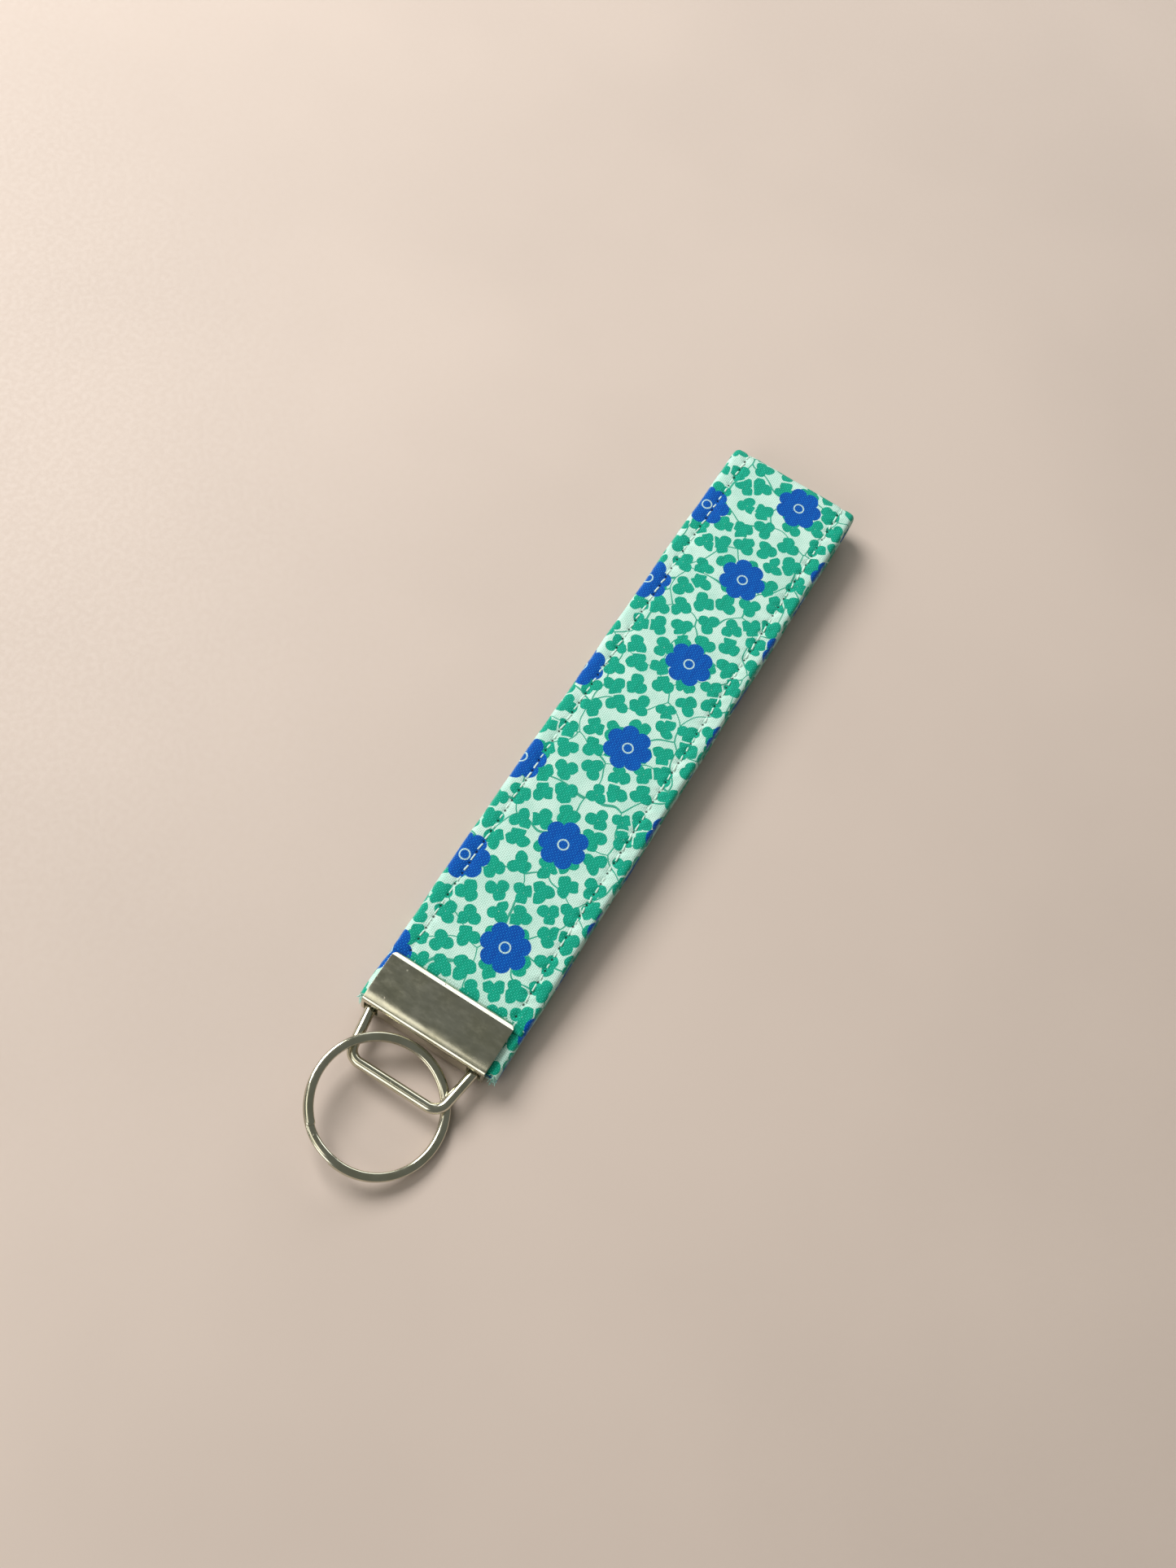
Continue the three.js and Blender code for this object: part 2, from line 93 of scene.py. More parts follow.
FACE_ROW = 11.1                        # middle of the strap to each row of stitching
EDGE_ROUND = 1.0
SLEEVE_WALL = 0.4
SLEEVE_EDGE = 0.6
CORE_SIDE_GAP = 0.25                   # sleeve to webbing at each edge
CORE_FACE_GAP = 0.27                   # sleeve to webbing at each face
CORE_SET_BACK = 2.3                    # sleeve's raw corners to the end of the webbing
BULGE_LENGTH = 3.3                     # cloth taken round the bulge at the mouth
STATION = 0.6                          # between cross-sections of the sleeve
ROW_START, ROW_STOP = 7.4, 7.2         # X where the stitching starts on the lower run and ends on the upper run


def pchip(knots, values, at):
    """Smooth curve through values at knots that never overshoots them."""
    knots, values, at = (np.asarray(a, float) for a in (knots, values, at))
    h = np.diff(knots)
    d = np.diff(values) / h
    slope = np.zeros_like(values)
    inner = np.zeros(len(d) - 1)
    same = d[:-1] * d[1:] > 0
    w1, w2 = 2 * h[1:] + h[:-1], h[1:] + 2 * h[:-1]
    with np.errstate(divide="ignore", invalid="ignore"):
        inner[same] = ((w1 + w2) / (w1 / d[:-1] + w2 / d[1:]))[same]
    slope[1:-1] = inner
    slope[0], slope[-1] = d[0], d[-1]
    i = np.clip(np.searchsorted(knots, at, side="right") - 1, 0, len(h) - 1)
    t = (at - knots[i]) / h[i]
    return (
        values[i] * (1 + 2 * t) * (1 - t) ** 2 + slope[i] * h[i] * t * (1 - t) ** 2
        + values[i + 1] * t * t * (3 - 2 * t) + slope[i + 1] * h[i] * t * t * (t - 1)
    )


class Route:
    """The strap's middle line by its length from the lower raw end, in millimetres."""

    def __init__(self):
        points = list(LOWER_RUN)
        cx, low, r = FOLD_CENTRE
        for k in range(15):
            a = math.radians(-84 + 170 * k / 14)
            points.append((cx + r * math.cos(a), low + r * (1 + math.sin(a)), 1.15))
        last, back = points[-1], UPPER_START[0] + 0.3
        for share, rise in FOLD_BACK:
            points.append((back + share * (last[0] - back), UPPER_START[1] + rise, 1.15))
        for run, rise in UPPER_SHAPE:
            points.append((
                UPPER_END[0] + run * (UPPER_START[0] - UPPER_END[0]),
                UPPER_END[1] + rise * (UPPER_START[1] - UPPER_END[1]), 1.15,
            ))
        points += CLAMPED_RUN
        p = np.array(points)
        self.knots = np.concatenate([[0], np.cumsum(np.hypot(np.diff(p[:, 0]), np.diff(p[:, 1])))])
        self.points = p
        self.length = float(self.knots[-1])
        s = np.linspace(0, self.length, 6000)
        x = pchip(self.knots, p[:, 0], s)
        tip = int(np.argmax(x))
        self.tip = float(s[tip])
        self._lower, self._upper = (s[:tip], x[:tip]), (s[tip:][::-1], x[tip:][::-1])

    def at(self, s):
        """X, Z, half thickness and the outward normal at each length."""
        s = np.asarray(s, float)
        x, z, half = (pchip(self.knots, self.points[:, i], s) for i in range(3))
        e = 0.05
        a, b = np.clip(s - e, 0, self.length), np.clip(s + e, 0, self.length)
        tx = pchip(self.knots, self.points[:, 0], b) - pchip(self.knots, self.points[:, 0], a)
        tz = pchip(self.knots, self.points[:, 1], b) - pchip(self.knots, self.points[:, 1], a)
        n = np.hypot(tx, tz)
        return x, z, half, tz / n, -tx / n

    def lower(self, x):
        return float(np.interp(x, self._lower[1], self._lower[0]))

    def upper(self, x):
        return float(np.interp(x, self._upper[1], self._upper[0]))


ROUTE = Route()
CUTS = {
    "raw_end": 0.0,
    "lower_seam": ROUTE.lower(SEAMS[0]),
    "fold_seam": ROUTE.lower(131.35),
    "back_seam": ROUTE.upper(SEAMS[1]),
    "front_seam": ROUTE.upper(SEAMS[2]),
    "mouth": ROUTE.upper(MOUTH_X),
    "upper_end": ROUTE.length,
}

# Each stretch of strap: name, from, to, and the body it rides on, or a bend between two
# (the two bodies, then the X where the bend starts, the X where it ends and its height); such a stretch is only
# left in place, not bent.
STRETCHES = [
    ("lower_front", "raw_end", "lower_seam", ("base", "lower_back", 44.0, 60.0, 1.15)),
    ("lower_back", "lower_seam", "fold_seam", ("lower_back", "fold", 114.0, 130.0, 1.6)),
    ("fold", "fold_seam", "back_seam", ("fold",)),
    ("upper_back", "back_seam", "front_seam", ("fold", "upper_front", 86.0, 74.0, 8.1)),
    ("upper_front", "front_seam", "mouth", ("upper_front",)),
    ("clamped_end", "mouth", "upper_end", ("base",)),
]
ONLY_VISUAL = "upper_back"               # the one stretch with no node of its own


def place_on(piece, motion):
    """Lets a piece ride on one body; a piece between two bodies is left in place."""
    if len(motion) == 1:
        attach(piece, motion[0])
    else:
        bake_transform(piece)


def stand_for(prefix, name):
    """Puts the piece in place of the stretch's node, where it has one."""
    if name != ONLY_VISUAL:
        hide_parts(prefix + name)


# ---------------------------------------------------------------- mesh helpers

def add_object(name, data):
    """An object of that name in the scene, at the origin."""
    added = bpy.data.objects.new(name, data)
    bpy.context.scene.collection.objects.link(added)
    return added


def grid_faces(rows, around):
    """Quads of a tube: each row has as many points around it, and every row joins the next."""
    return [
        (i * around + j, i * around + (j + 1) % around, (i + 1) * around + (j + 1) % around, (i + 1) * around + j)
        for i in range(rows - 1) for j in range(around)
    ]


def tube_faces(rows, around):
    """A tube's quads and the two faces that close its ends."""
    first, last = tuple(range(around))[::-1], tuple(range((rows - 1) * around, rows * around))
    return grid_faces(rows, around) + [first, last]


def mesh_piece(name, verts, faces, surface, smooth=True, uvs=None):
    """A mesh object at the origin from points in millimetres."""
    mesh = bpy.data.meshes.new(name)
    mesh.from_pydata([tuple(c * MM for c in v) for v in verts], [], faces)
    if uvs:
        layer = mesh.uv_layers.new(name="strap_uv")
        layer.data.foreach_set("uv", np.array([c for face in uvs for c in face], np.float32).ravel())
    mesh.validate()
    bm = bmesh.new()
    bm.from_mesh(mesh)
    bmesh.ops.recalc_face_normals(bm, faces=bm.faces)
    for face in bm.faces:
        face.smooth = smooth
    bm.to_mesh(mesh)
    bm.free()
    mesh.materials.append(surface)
    return add_object(name, mesh)


def sharpen(piece, degrees):
    """Marks edges that turn more than this as sharp, so that the rest shades smoothly."""
    bm = bmesh.new()
    bm.from_mesh(piece.data)
    limit = math.radians(degrees)
    for edge in bm.edges:
        edge.smooth = not (len(edge.link_faces) == 2 and edge.calc_face_angle() > limit)
    bm.to_mesh(piece.data)
    bm.free()


def apply_modifiers(piece):
    """Turns the piece's evaluated shape into its plain mesh."""
    bpy.context.view_layer.update()
    evaluated = piece.evaluated_get(bpy.context.evaluated_depsgraph_get())
    mesh = bpy.data.meshes.new_from_object(evaluated)
    piece.modifiers.clear()
    old = piece.data
    piece.data = mesh
    mesh.name = piece.name
    bpy.data.meshes.remove(old)
    return piece


def sweep(path, section, normal_hint):
    """Sweeps a closed section of (side, up) points along a path, with domed ends."""
    path = [Vector(p) for p in path]
    verts, rings = [], []
    up = Vector(normal_hint)
    for i, p in enumerate(path):
        a, b = path[max(i - 1, 0)], path[min(i + 1, len(path) - 1)]
        along = (b - a).normalized()
        up = (up - along * up.dot(along)).normalized()
        side = along.cross(up)
        rings.append((p, along, side, up, 1.0))
    reach = max(abs(u) for _, u in section)
    first, last = rings[0], rings[-1]
    domes = ((0.42, 0.93), (0.75, 0.70), (0.92, 0.40))
    start = [(first[0] - first[1] * reach * d, *first[1:4], k) for d, k in reversed(domes)]
    end = [(last[0] + last[1] * reach * d, *last[1:4], k) for d, k in domes]
    rings = start + rings + end
    for p, along, side, up, scale in rings:
        verts += [tuple(p + side * s * scale + up * u * scale) for s, u in section]
    return verts, tube_faces(len(rings), len(section))


# ---------------------------------------------------------------- node helpers

class Nodes:
    """Short calls for wiring a node tree."""

    def __init__(self, tree):
        self.tree = tree
        self.x = 0

    def new(self, kind, inputs=(), **settings):
        node = self.tree.nodes.new(kind)
        self.x += 180
        node.location = (self.x, 0)
        for key, value in settings.items():
            setattr(node, key, value)
        for key, value in dict(inputs).items():
            self.set(node.inputs[key], value)
        return node

    def set(self, socket, value):
        if isinstance(value, bpy.types.NodeSocket):
            self.tree.links.new(value, socket)
        else:
            socket.default_value = value

    def math(self, operation, *values):
        node = self.new("ShaderNodeMath", operation=operation)
        for i, value in enumerate(values):
            self.set(node.inputs[i], value)
        return node.outputs[0]

    def add(self, a, b):
        return self.math("ADD", a, b)

    def sub(self, a, b):
        return self.math("SUBTRACT", a, b)

    def mul(self, a, b):
        return self.math("MULTIPLY", a, b)

    def distance(self, x, y):
        """Length of the flat vector x, y."""
        return self.math("SQRT", self.add(self.mul(x, x), self.mul(y, y)))

    def checks(self, u, v, along, across):
        """Crossed waves, from -1 to 1, that far apart along and across."""
        waves = (self.math("SINE", self.mul(at, math.pi / step)) for at, step in ((u, along), (v, across)))
        return self.mul(*waves)

    def vector(self, operation, *values, scale=None):
        node = self.new("ShaderNodeVectorMath", operation=operation)
        for i, value in enumerate(values):
            self.set(node.inputs[i], value)
        if scale is not None:
            self.set(node.inputs["Scale"], scale)
        return node.outputs["Vector"]

    def ramp(self, value, low, high, start=0.0, end=1.0):
        """Smooth step of value from low to high."""
        node = self.new("ShaderNodeMapRange", interpolation_type="SMOOTHSTEP")
        for key, v in (("Value", value), ("From Min", low), ("From Max", high), ("To Min", start), ("To Max", end)):
            self.set(node.inputs[key], v)
        return node.outputs[0]

    def mix(self, factor, a, b, blend="MIX"):
        node = self.new("ShaderNodeMix", data_type="RGBA", blend_type=blend)
        self.set(node.inputs[0], factor)
        self.set(node.inputs[6], a)
        self.set(node.inputs[7], b)
        return node.outputs[2]

    def noise(self, vector, scale, detail=2.0, roughness=0.5):
        return self.new("ShaderNodeTexNoise", {
            "Vector": vector, "Scale": scale, "Detail": detail, "Roughness": roughness,
        })

    def warp(self, vector, scale, reach):
        """Pushes a position about by soft noise, by up to half of reach."""
        push = self.vector("SUBTRACT", self.noise(vector, scale, 1.0).outputs["Color"], (0.5, 0.5, 0.5))
        return self.vector("ADD", vector, self.vector("SCALE", push, scale=reach))

    def combine(self, x, y, z=0.0):
        return self.new("ShaderNodeCombineXYZ", {"X": x, "Y": y, "Z": z}).outputs[0]

    def split(self, vector):
        return self.new("ShaderNodeSeparateXYZ", {"Vector": vector}).outputs

    def bump(self, height, distance, strength=1.0, normal=None):
        node = self.new("ShaderNodeBump", {"Strength": strength, "Distance": distance, "Height": height})
        if normal is not None:
            self.set(node.inputs["Normal"], normal)
        return node.outputs[0]


def start_surface(name):
    surface = bpy.data.materials.new(name)
    surface.use_nodes = True
    surface.node_tree.nodes.clear()
    n = Nodes(surface.node_tree)
    shader = n.new("ShaderNodeBsdfPrincipled")
    out = n.new("ShaderNodeOutputMaterial")
    n.tree.links.new(shader.outputs[0], out.inputs["Surface"])
    return surface, n, shader


def four(colour):
    return (*colour, 1.0)


# ---------------------------------------------------------------- surfaces

def printed_cotton(look, sizes):
    """Plain-weave cotton with a small print of leaves, vines and flowers."""
    surface, n, shader = start_surface("printed_cotton")
    uv = n.new("ShaderNodeUVMap", uv_map="strap_uv").outputs[0]
    u, v, _ = n.split(uv)
    drawn = n.warp(uv, 0.30, 1.0)
    drawn = n.new("ShaderNodeMapping", {"Vector": drawn, "Rotation": (0.0, 0.0, 0.56)}).outputs[0]

    # Leaves: one three-lobed shape in each cell
    pitch = look.leaf_spacing / MM
    cells, border = (
        n.new("ShaderNodeTexVoronoi", {"Vector": drawn, "Scale": 1 / pitch, "Randomness": 0.36},
              voronoi_dimensions="2D", feature=feature)
        for feature in ("F1", "DISTANCE_TO_EDGE")
    )
    local = n.vector("SUBTRACT", drawn, cells.outputs["Position"])
    lx, ly, _ = n.split(local)
    turn = n.mul(n.split(cells.outputs["Color"])[0], 6.2832)
    angle = n.add(n.math("ARCTAN2", ly, lx), turn)
    radius = n.distance(lx, ly)
    off_lobe = n.math("DIVIDE", n.math("ARCCOSINE", n.math("COSINE", n.mul(angle, 3.0))), 3.0)
    lobe_at = n.math("MULTIPLY_ADD", n.math("COSINE", angle), 0.16, look.lobe_spread / MM)
    to_lobe = n.add(n.mul(radius, radius), n.mul(lobe_at, lobe_at))
    across = n.mul(n.mul(radius, lobe_at), n.mul(n.math("COSINE", off_lobe), 2.0))
    to_lobe = n.math("SQRT", n.math("MAXIMUM", n.sub(to_lobe, across), 0.0))
    lobe = n.math("MULTIPLY_ADD", n.split(cells.outputs["Color"])[1], 0.14, look.lobe_size / MM / 2)
    leaf = n.mul(n.ramp(n.sub(lobe, to_lobe), -0.06, 0.06), n.ramp(border.outputs["Distance"], 0.022, 0.045))

    # Vines: thin winding lines behind the leaves
    bent = n.warp(uv, 0.10, 8.5)
    vine_scale = 1 / 10.5
    web = n.new("ShaderNodeTexVoronoi", {"Vector": bent, "Scale": vine_scale, "Randomness": 0.9},
                voronoi_dimensions="2D", feature="DISTANCE_TO_EDGE")
    vine = n.ramp(web.outputs["Distance"], 0.10 * vine_scale, 0.19 * vine_scale, 1.0, 0.0)

    # Flowers: staggered rows of seven round petals with a pale ring in the middle
    row_pitch, run_pitch = look.flower_row / MM, look.flower_run / MM
    v = n.add(v, look.flower_shift / MM)
    row = n.math("ROUND", n.math("DIVIDE", v, row_pitch))
    odd = n.math("ABSOLUTE", n.math("MODULO", row, 2.0))
    run = n.math("DIVIDE", n.sub(u, look.flower_start / MM), run_pitch)
    run = n.sub(run, n.mul(odd, 0.5))
    index = n.math("ROUND", run)
    jitter = n.new("ShaderNodeTexWhiteNoise", {"Vector": n.combine(index, row, 3.0)}, noise_dimensions="3D")
    jx, jy, jz = n.split(jitter.outputs["Color"])
    fu = n.add(n.mul(n.sub(run, index), run_pitch), n.math("MULTIPLY_ADD", jx, 2.4, -1.2))
    fv = n.add(n.sub(v, n.mul(row, row_pitch)), n.math("MULTIPLY_ADD", jy, 3.2, -1.6))
    fr = n.distance(fu, fv)
    fa = n.add(n.math("ARCTAN2", fv, fu), n.mul(jz, 6.2832))
    petal = n.math("POWER", n.math("ABSOLUTE", n.math("COSINE", n.mul(fa, 3.5))), 0.55)
    flower_reach = n.mul(n.math("MULTIPLY_ADD", petal, 0.24, 0.76), look.flower_size / MM / 2)
    flower = n.ramp(n.sub(flower_reach, fr), -0.07, 0.07)
    ring = n.ramp(n.math("ABSOLUTE", n.sub(fr, 0.98)), 0.08, 0.20, 1.0, 0.0)

    v = n.split(uv)[1]

    # Plain weave: raised crossings that catch the light, painted lighter there as a painted highlight
    yarn = sizes.weave / MM
    weave = n.checks(u, v, yarn, yarn)
    fleck = n.ramp(weave, 0.25, 0.95)
    slub = n.noise(n.combine(n.mul(u, 0.35), n.mul(v, 2.6)), 1.0, 3.0).outputs[0]
    cloud = n.noise(uv, 0.16, 3.0).outputs[0]

    ground = n.mix(n.ramp(cloud, 0.35, 0.68), four(look.ground), four(look.ground_shade))
    green = n.mix(n.ramp(slub, 0.3, 0.75), four(look.leaf), four(look.leaf_shade))
    blue = n.mix(n.ramp(slub, 0.3, 0.75), four(look.flower), four(look.flower_shade))
    colour = n.mix(n.mul(vine, 0.92), ground, green)
    colour = n.mix(leaf, colour, green)
    colour = n.mix(flower, colour, blue)
    colour = n.mix(n.mul(ring, 0.85), colour, four(look.ground))
    lit = n.mix(n.math("MAXIMUM", leaf, vine), four(look.ground), four(look.leaf_highlight))
    lit = n.mix(flower, lit, four(look.flower_highlight))
    # Painted highlight: leaf, vine and flower colours turn lighter on the raised yarn crossings
    crossing_highlight = n.mul(fleck, n.math("MULTIPLY_ADD", n.math("MAXIMUM", leaf, flower), 0.34, 0.14))
    colour = n.mix(crossing_highlight, colour, lit)
    # Painted shade: the colour is darkened between the yarn crossings, where shade falls in the weave
    between = n.ramp(n.math("ABSOLUTE", weave), 0.02, 0.50, 0.62, 0.0)
    colour = n.mix(between, colour, four((0.50, 0.62, 0.56)), blend="MULTIPLY")

    # Wear: the print is rubbed pale along the two folded edges
    side = n.math("ABSOLUTE", v)
    rubbed = n.ramp(n.math("ABSOLUTE", n.sub(side, sizes.edge_at)), 0.15, 1.1, 1.0, 0.0)
    rubbed = n.mul(rubbed, n.ramp(n.noise(uv, 0.9, 2.0).outputs[0], 0.35, 0.7, 0.12, 0.55))
    colour = n.mix(rubbed, colour, four(look.ground))

    # Needle holes along both rows of stitching, on both faces: pressed in by the bump and painted as dark dots of
    # shade
    gap = sizes.stitch_pitch / MM
    steps = n.math("DIVIDE", u, gap)
    du = n.mul(n.sub(steps, n.math("ROUND", steps)), gap)
    outer_row = n.math("ABSOLUTE", n.sub(side, FACE_ROW))
    inner_row = n.math("ABSOLUTE", n.sub(side, sizes.inner_row_at))
    dv = n.math("MINIMUM", outer_row, inner_row)
    away = n.distance(du, dv)
    hole = n.ramp(away, 0.12, 0.30, 1.0, 0.0)
    colour = n.mix(n.mul(hole, 0.86), colour, four((0.012, 0.016, 0.014)))

    n.set(shader.inputs["Base Color"], colour)
    n.set(shader.inputs["Roughness"], n.math("MULTIPLY_ADD", fleck, -0.16, n.ramp(slub, 0.2, 0.8, 0.84, 0.74)))
    n.set(shader.inputs["Specular IOR Level"], 0.13)
    n.set(shader.inputs["Sheen Weight"], 0.02)
    n.set(shader.inputs["Sheen Roughness"], 0.45)
    height = n.add(n.mul(n.math("ABSOLUTE", weave), 0.5), n.mul(fleck, 0.5))
    height = n.add(height, n.mul(slub, 0.5))
    cloth = n.bump(height, 0.00007, 0.7)
    n.set(shader.inputs["Normal"], n.bump(n.sub(1.0, hole), 0.00025, 0.6, cloth))
    return surface


def webbing_surface(look):
    """Heavy cotton webbing: ribs across it and a soft, hairy face."""
    surface, n, shader = start_surface("cotton_webbing")
    uv = n.new("ShaderNodeUVMap", uv_map="strap_uv").outputs[0]
    u, v, _ = n.split(uv)
    ribs = n.checks(u, v, 0.55, 0.42)
    hair = n.noise(uv, 3.2, 4.0, 0.6).outputs[0]
    # Darker between the ribs: painted shade, mixed with random tone from the hairy face
    tone = n.math("MULTIPLY_ADD", ribs, 0.25, hair)
    n.set(shader.inputs["Base Color"], n.mix(n.ramp(tone, 0.2, 0.8), four(look.webbing_shade), four(look.webbing)))
    n.set(shader.inputs["Roughness"], n.ramp(hair, 0.2, 0.8, 0.95, 0.82))
    n.set(shader.inputs["Sheen Weight"], 0.25)
    n.set(shader.inputs["Normal"], n.bump(tone, 0.00012, 0.8))
    return surface


def thread_surface(name, light, dark):
    """Twisted yarn, darker between its plies: painted shade for the sewing thread, the print colour for the frayed
    yarns.
    """
    surface, n, shader = start_surface(name)
    at = n.new("ShaderNodeTexCoord").outputs["Object"]
    twist = n.new("ShaderNodeTexWave", {"Vector": at, "Scale": 2600.0, "Distortion": 1.2, "Detail": 1.0},
                  wave_type="BANDS", bands_direction="DIAGONAL").outputs["Fac"]
    soft = n.noise(at, 900.0, 3.0).outputs[0]
    tone = n.math("MULTIPLY_ADD", twist, 0.45, n.mul(soft, 0.55))
    n.set(shader.inputs["Base Color"], n.mix(n.ramp(tone, 0.15, 0.8), four(dark), four(light)))
    n.set(shader.inputs["Roughness"], n.ramp(soft, 0.3, 0.7, 0.5, 0.68))
    n.set(shader.inputs["Sheen Weight"], 0.2)
    n.set(shader.inputs["Normal"], n.bump(tone, 0.00004, 0.7))
    return surface


def nickel_surface(name, look, grain):
    """Polished nickel plate with faint rolling marks, fine scratches and small pits."""
    surface, n, shader = start_surface(name)
    at = n.new("ShaderNodeTexCoord").outputs["Object"]
    rolled = n.new("ShaderNodeMapping", {"Vector": at, "Scale": grain}).outputs[0]
    marks = n.noise(rolled, 900.0, 3.0, 0.6).outputs[0]
    cloud = n.noise(at, 190.0, 3.0, 0.55).outputs[0]
    turned = n.new("ShaderNodeMapping", {
        "Vector": at, "Rotation": (0.2, 0.1, 0.9), "Scale": (1.0, 0.05, 1.0),
    }).outputs[0]
    scratch = n.ramp(n.noise(turned, 2300.0, 2.0, 0.5).outputs[0], 0.66, 0.74)
    pits = n.new("ShaderNodeTexVoronoi", {"Vector": at, "Scale": 620.0}, feature="F1")
    rare = n.ramp(n.split(pits.outputs["Color"])[0], 0.93, 0.97)
    pit = n.mul(n.ramp(pits.outputs["Distance"], 0.05, 0.16, 1.0, 0.0), rare)
    tint = n.mix(n.ramp(cloud, 0.3, 0.7), four(look.nickel), four(look.nickel_shade))
    n.set(shader.inputs["Base Color"], n.mix(n.mul(pit, 0.75), tint, four((0.09, 0.08, 0.06))))
    n.set(shader.inputs["Metallic"], 1.0)
    rough = n.ramp(marks, 0.25, 0.75, look.polish, look.polish + 0.08)
    rough = n.add(rough, n.mul(scratch, 0.07))
    rough = n.add(rough, n.ramp(n.noise(at, 420.0, 4.0, 0.65).outputs[0], 0.45, 0.75, 0.0, 0.05))
    n.set(shader.inputs["Roughness"], n.add(rough, n.mul(pit, 0.4)))
    height = n.math("MULTIPLY_ADD", marks, 0.12, n.mul(cloud, 2.2))
    height = n.sub(height, n.math("MULTIPLY_ADD", scratch, 0.25, n.mul(pit, 1.4)))
    n.set(shader.inputs["Normal"], n.bump(height, 0.00002, 0.5))
    return surface


def floor_surface(look):
    """Plain matt floor, faintly mottled."""
    surface, n, shader = start_surface("pale_floor")
    at = n.new("ShaderNodeTexCoord").outputs["Object"]
    cloud = n.noise(at, 9.0, 4.0).outputs[0]
    grain = n.noise(at, 900.0, 2.0).outputs[0]
    shade = tuple(c * 0.93 for c in look.floor)
    n.set(shader.inputs["Base Color"], n.mix(n.ramp(cloud, 0.3, 0.7), four(shade), four(look.floor)))
    n.set(shader.inputs["Roughness"], n.ramp(grain, 0.3, 0.7, 0.55, 0.68))
    n.set(shader.inputs["Normal"], n.bump(grain, 0.00001, 0.15))
    return surface


# ---------------------------------------------------------------- strap mesh

def face_lines(half_width):
    """Positions across one face of the strap, closest together at the rows of stitching."""
    side = [0.0, 2.2, 4.4, 6.4, 8.2, 9.5, 10.2, 10.6, 10.9, 11.1, 11.3, 11.6, 12.0, 12.6, 12.85]
    side.append(half_width - EDGE_ROUND)
    return [-y for y in reversed(side[1:])] + side


def section_points(half_width):
    """Round-edged section as (across, height share, perimeter, on the outer face), for a nominal thickness."""
    lines = face_lines(half_width)
    arc = [k / 9 * math.pi for k in range(1, 9)]
    quarter = half_width - EDGE_ROUND
    points = [(y, 1.0, y, True) for y in lines]
    edge = quarter
    reach = math.pi * 1.08             # cloth taken round one edge
    for a in arc:
        y, share = quarter + EDGE_ROUND * math.sin(a), math.cos(a)
        points.append((y, share, edge + reach * a / math.pi, share >= 0))
    inner = edge + reach
    for y in reversed(lines):
        points.append((y, -1.0, inner + (quarter - y), False))
    half = inner + quarter
    full = 2 * half
    for a in reversed(arc):
        y, share = -(quarter + EDGE_ROUND * math.sin(a)), math.cos(a)
        points.append((y, share, full - (edge + reach * a / math.pi), share >= 0))
    return points, full


def relief(y, s, pitch, outer):
    """How far the cloth stands in or out of its plain face, in millimetres."""
    row = abs(abs(y) - FACE_ROW)
    dip = math.exp(-((row / 0.55) ** 2))
    turn = 2 * math.pi * s / pitch
    stitch = 0.5 + 0.5 * math.cos(turn)
    pull = math.exp(-((row / 1.5) ** 2)) * 0.13 * math.sin(turn + 2.2 * abs(y) + math.sin(s * 0.37))
    soft = 0.05 * math.sin(s * 0.41 + y * 0.23) * math.sin(s * 0.17 - y * 0.31 + (0 if outer else 1.3))
    crown = 0.05 * max(0.0, 1 - (y / 10.5) ** 2)
    return -dip * (0.10 + 0.18 * stitch) + pull + soft + crown - 0.06


def notch(y, s, low_end):
    """Moves the raw end back between its two corners, y being measured from the clamp's middle."""
    t = min(max((NOTCH_HALF + 0.35 - abs(y)) / 0.25, 0.0), 1.0)
    from_end = s if low_end else ROUTE.length - s
    fade = max(0.0, 1 - from_end / 5.0)
    return (NOTCH_DEPTH * t + 0.12 * math.sin(y * 3.1) * (1 - t)) * fade * (1 if low_end else -1)


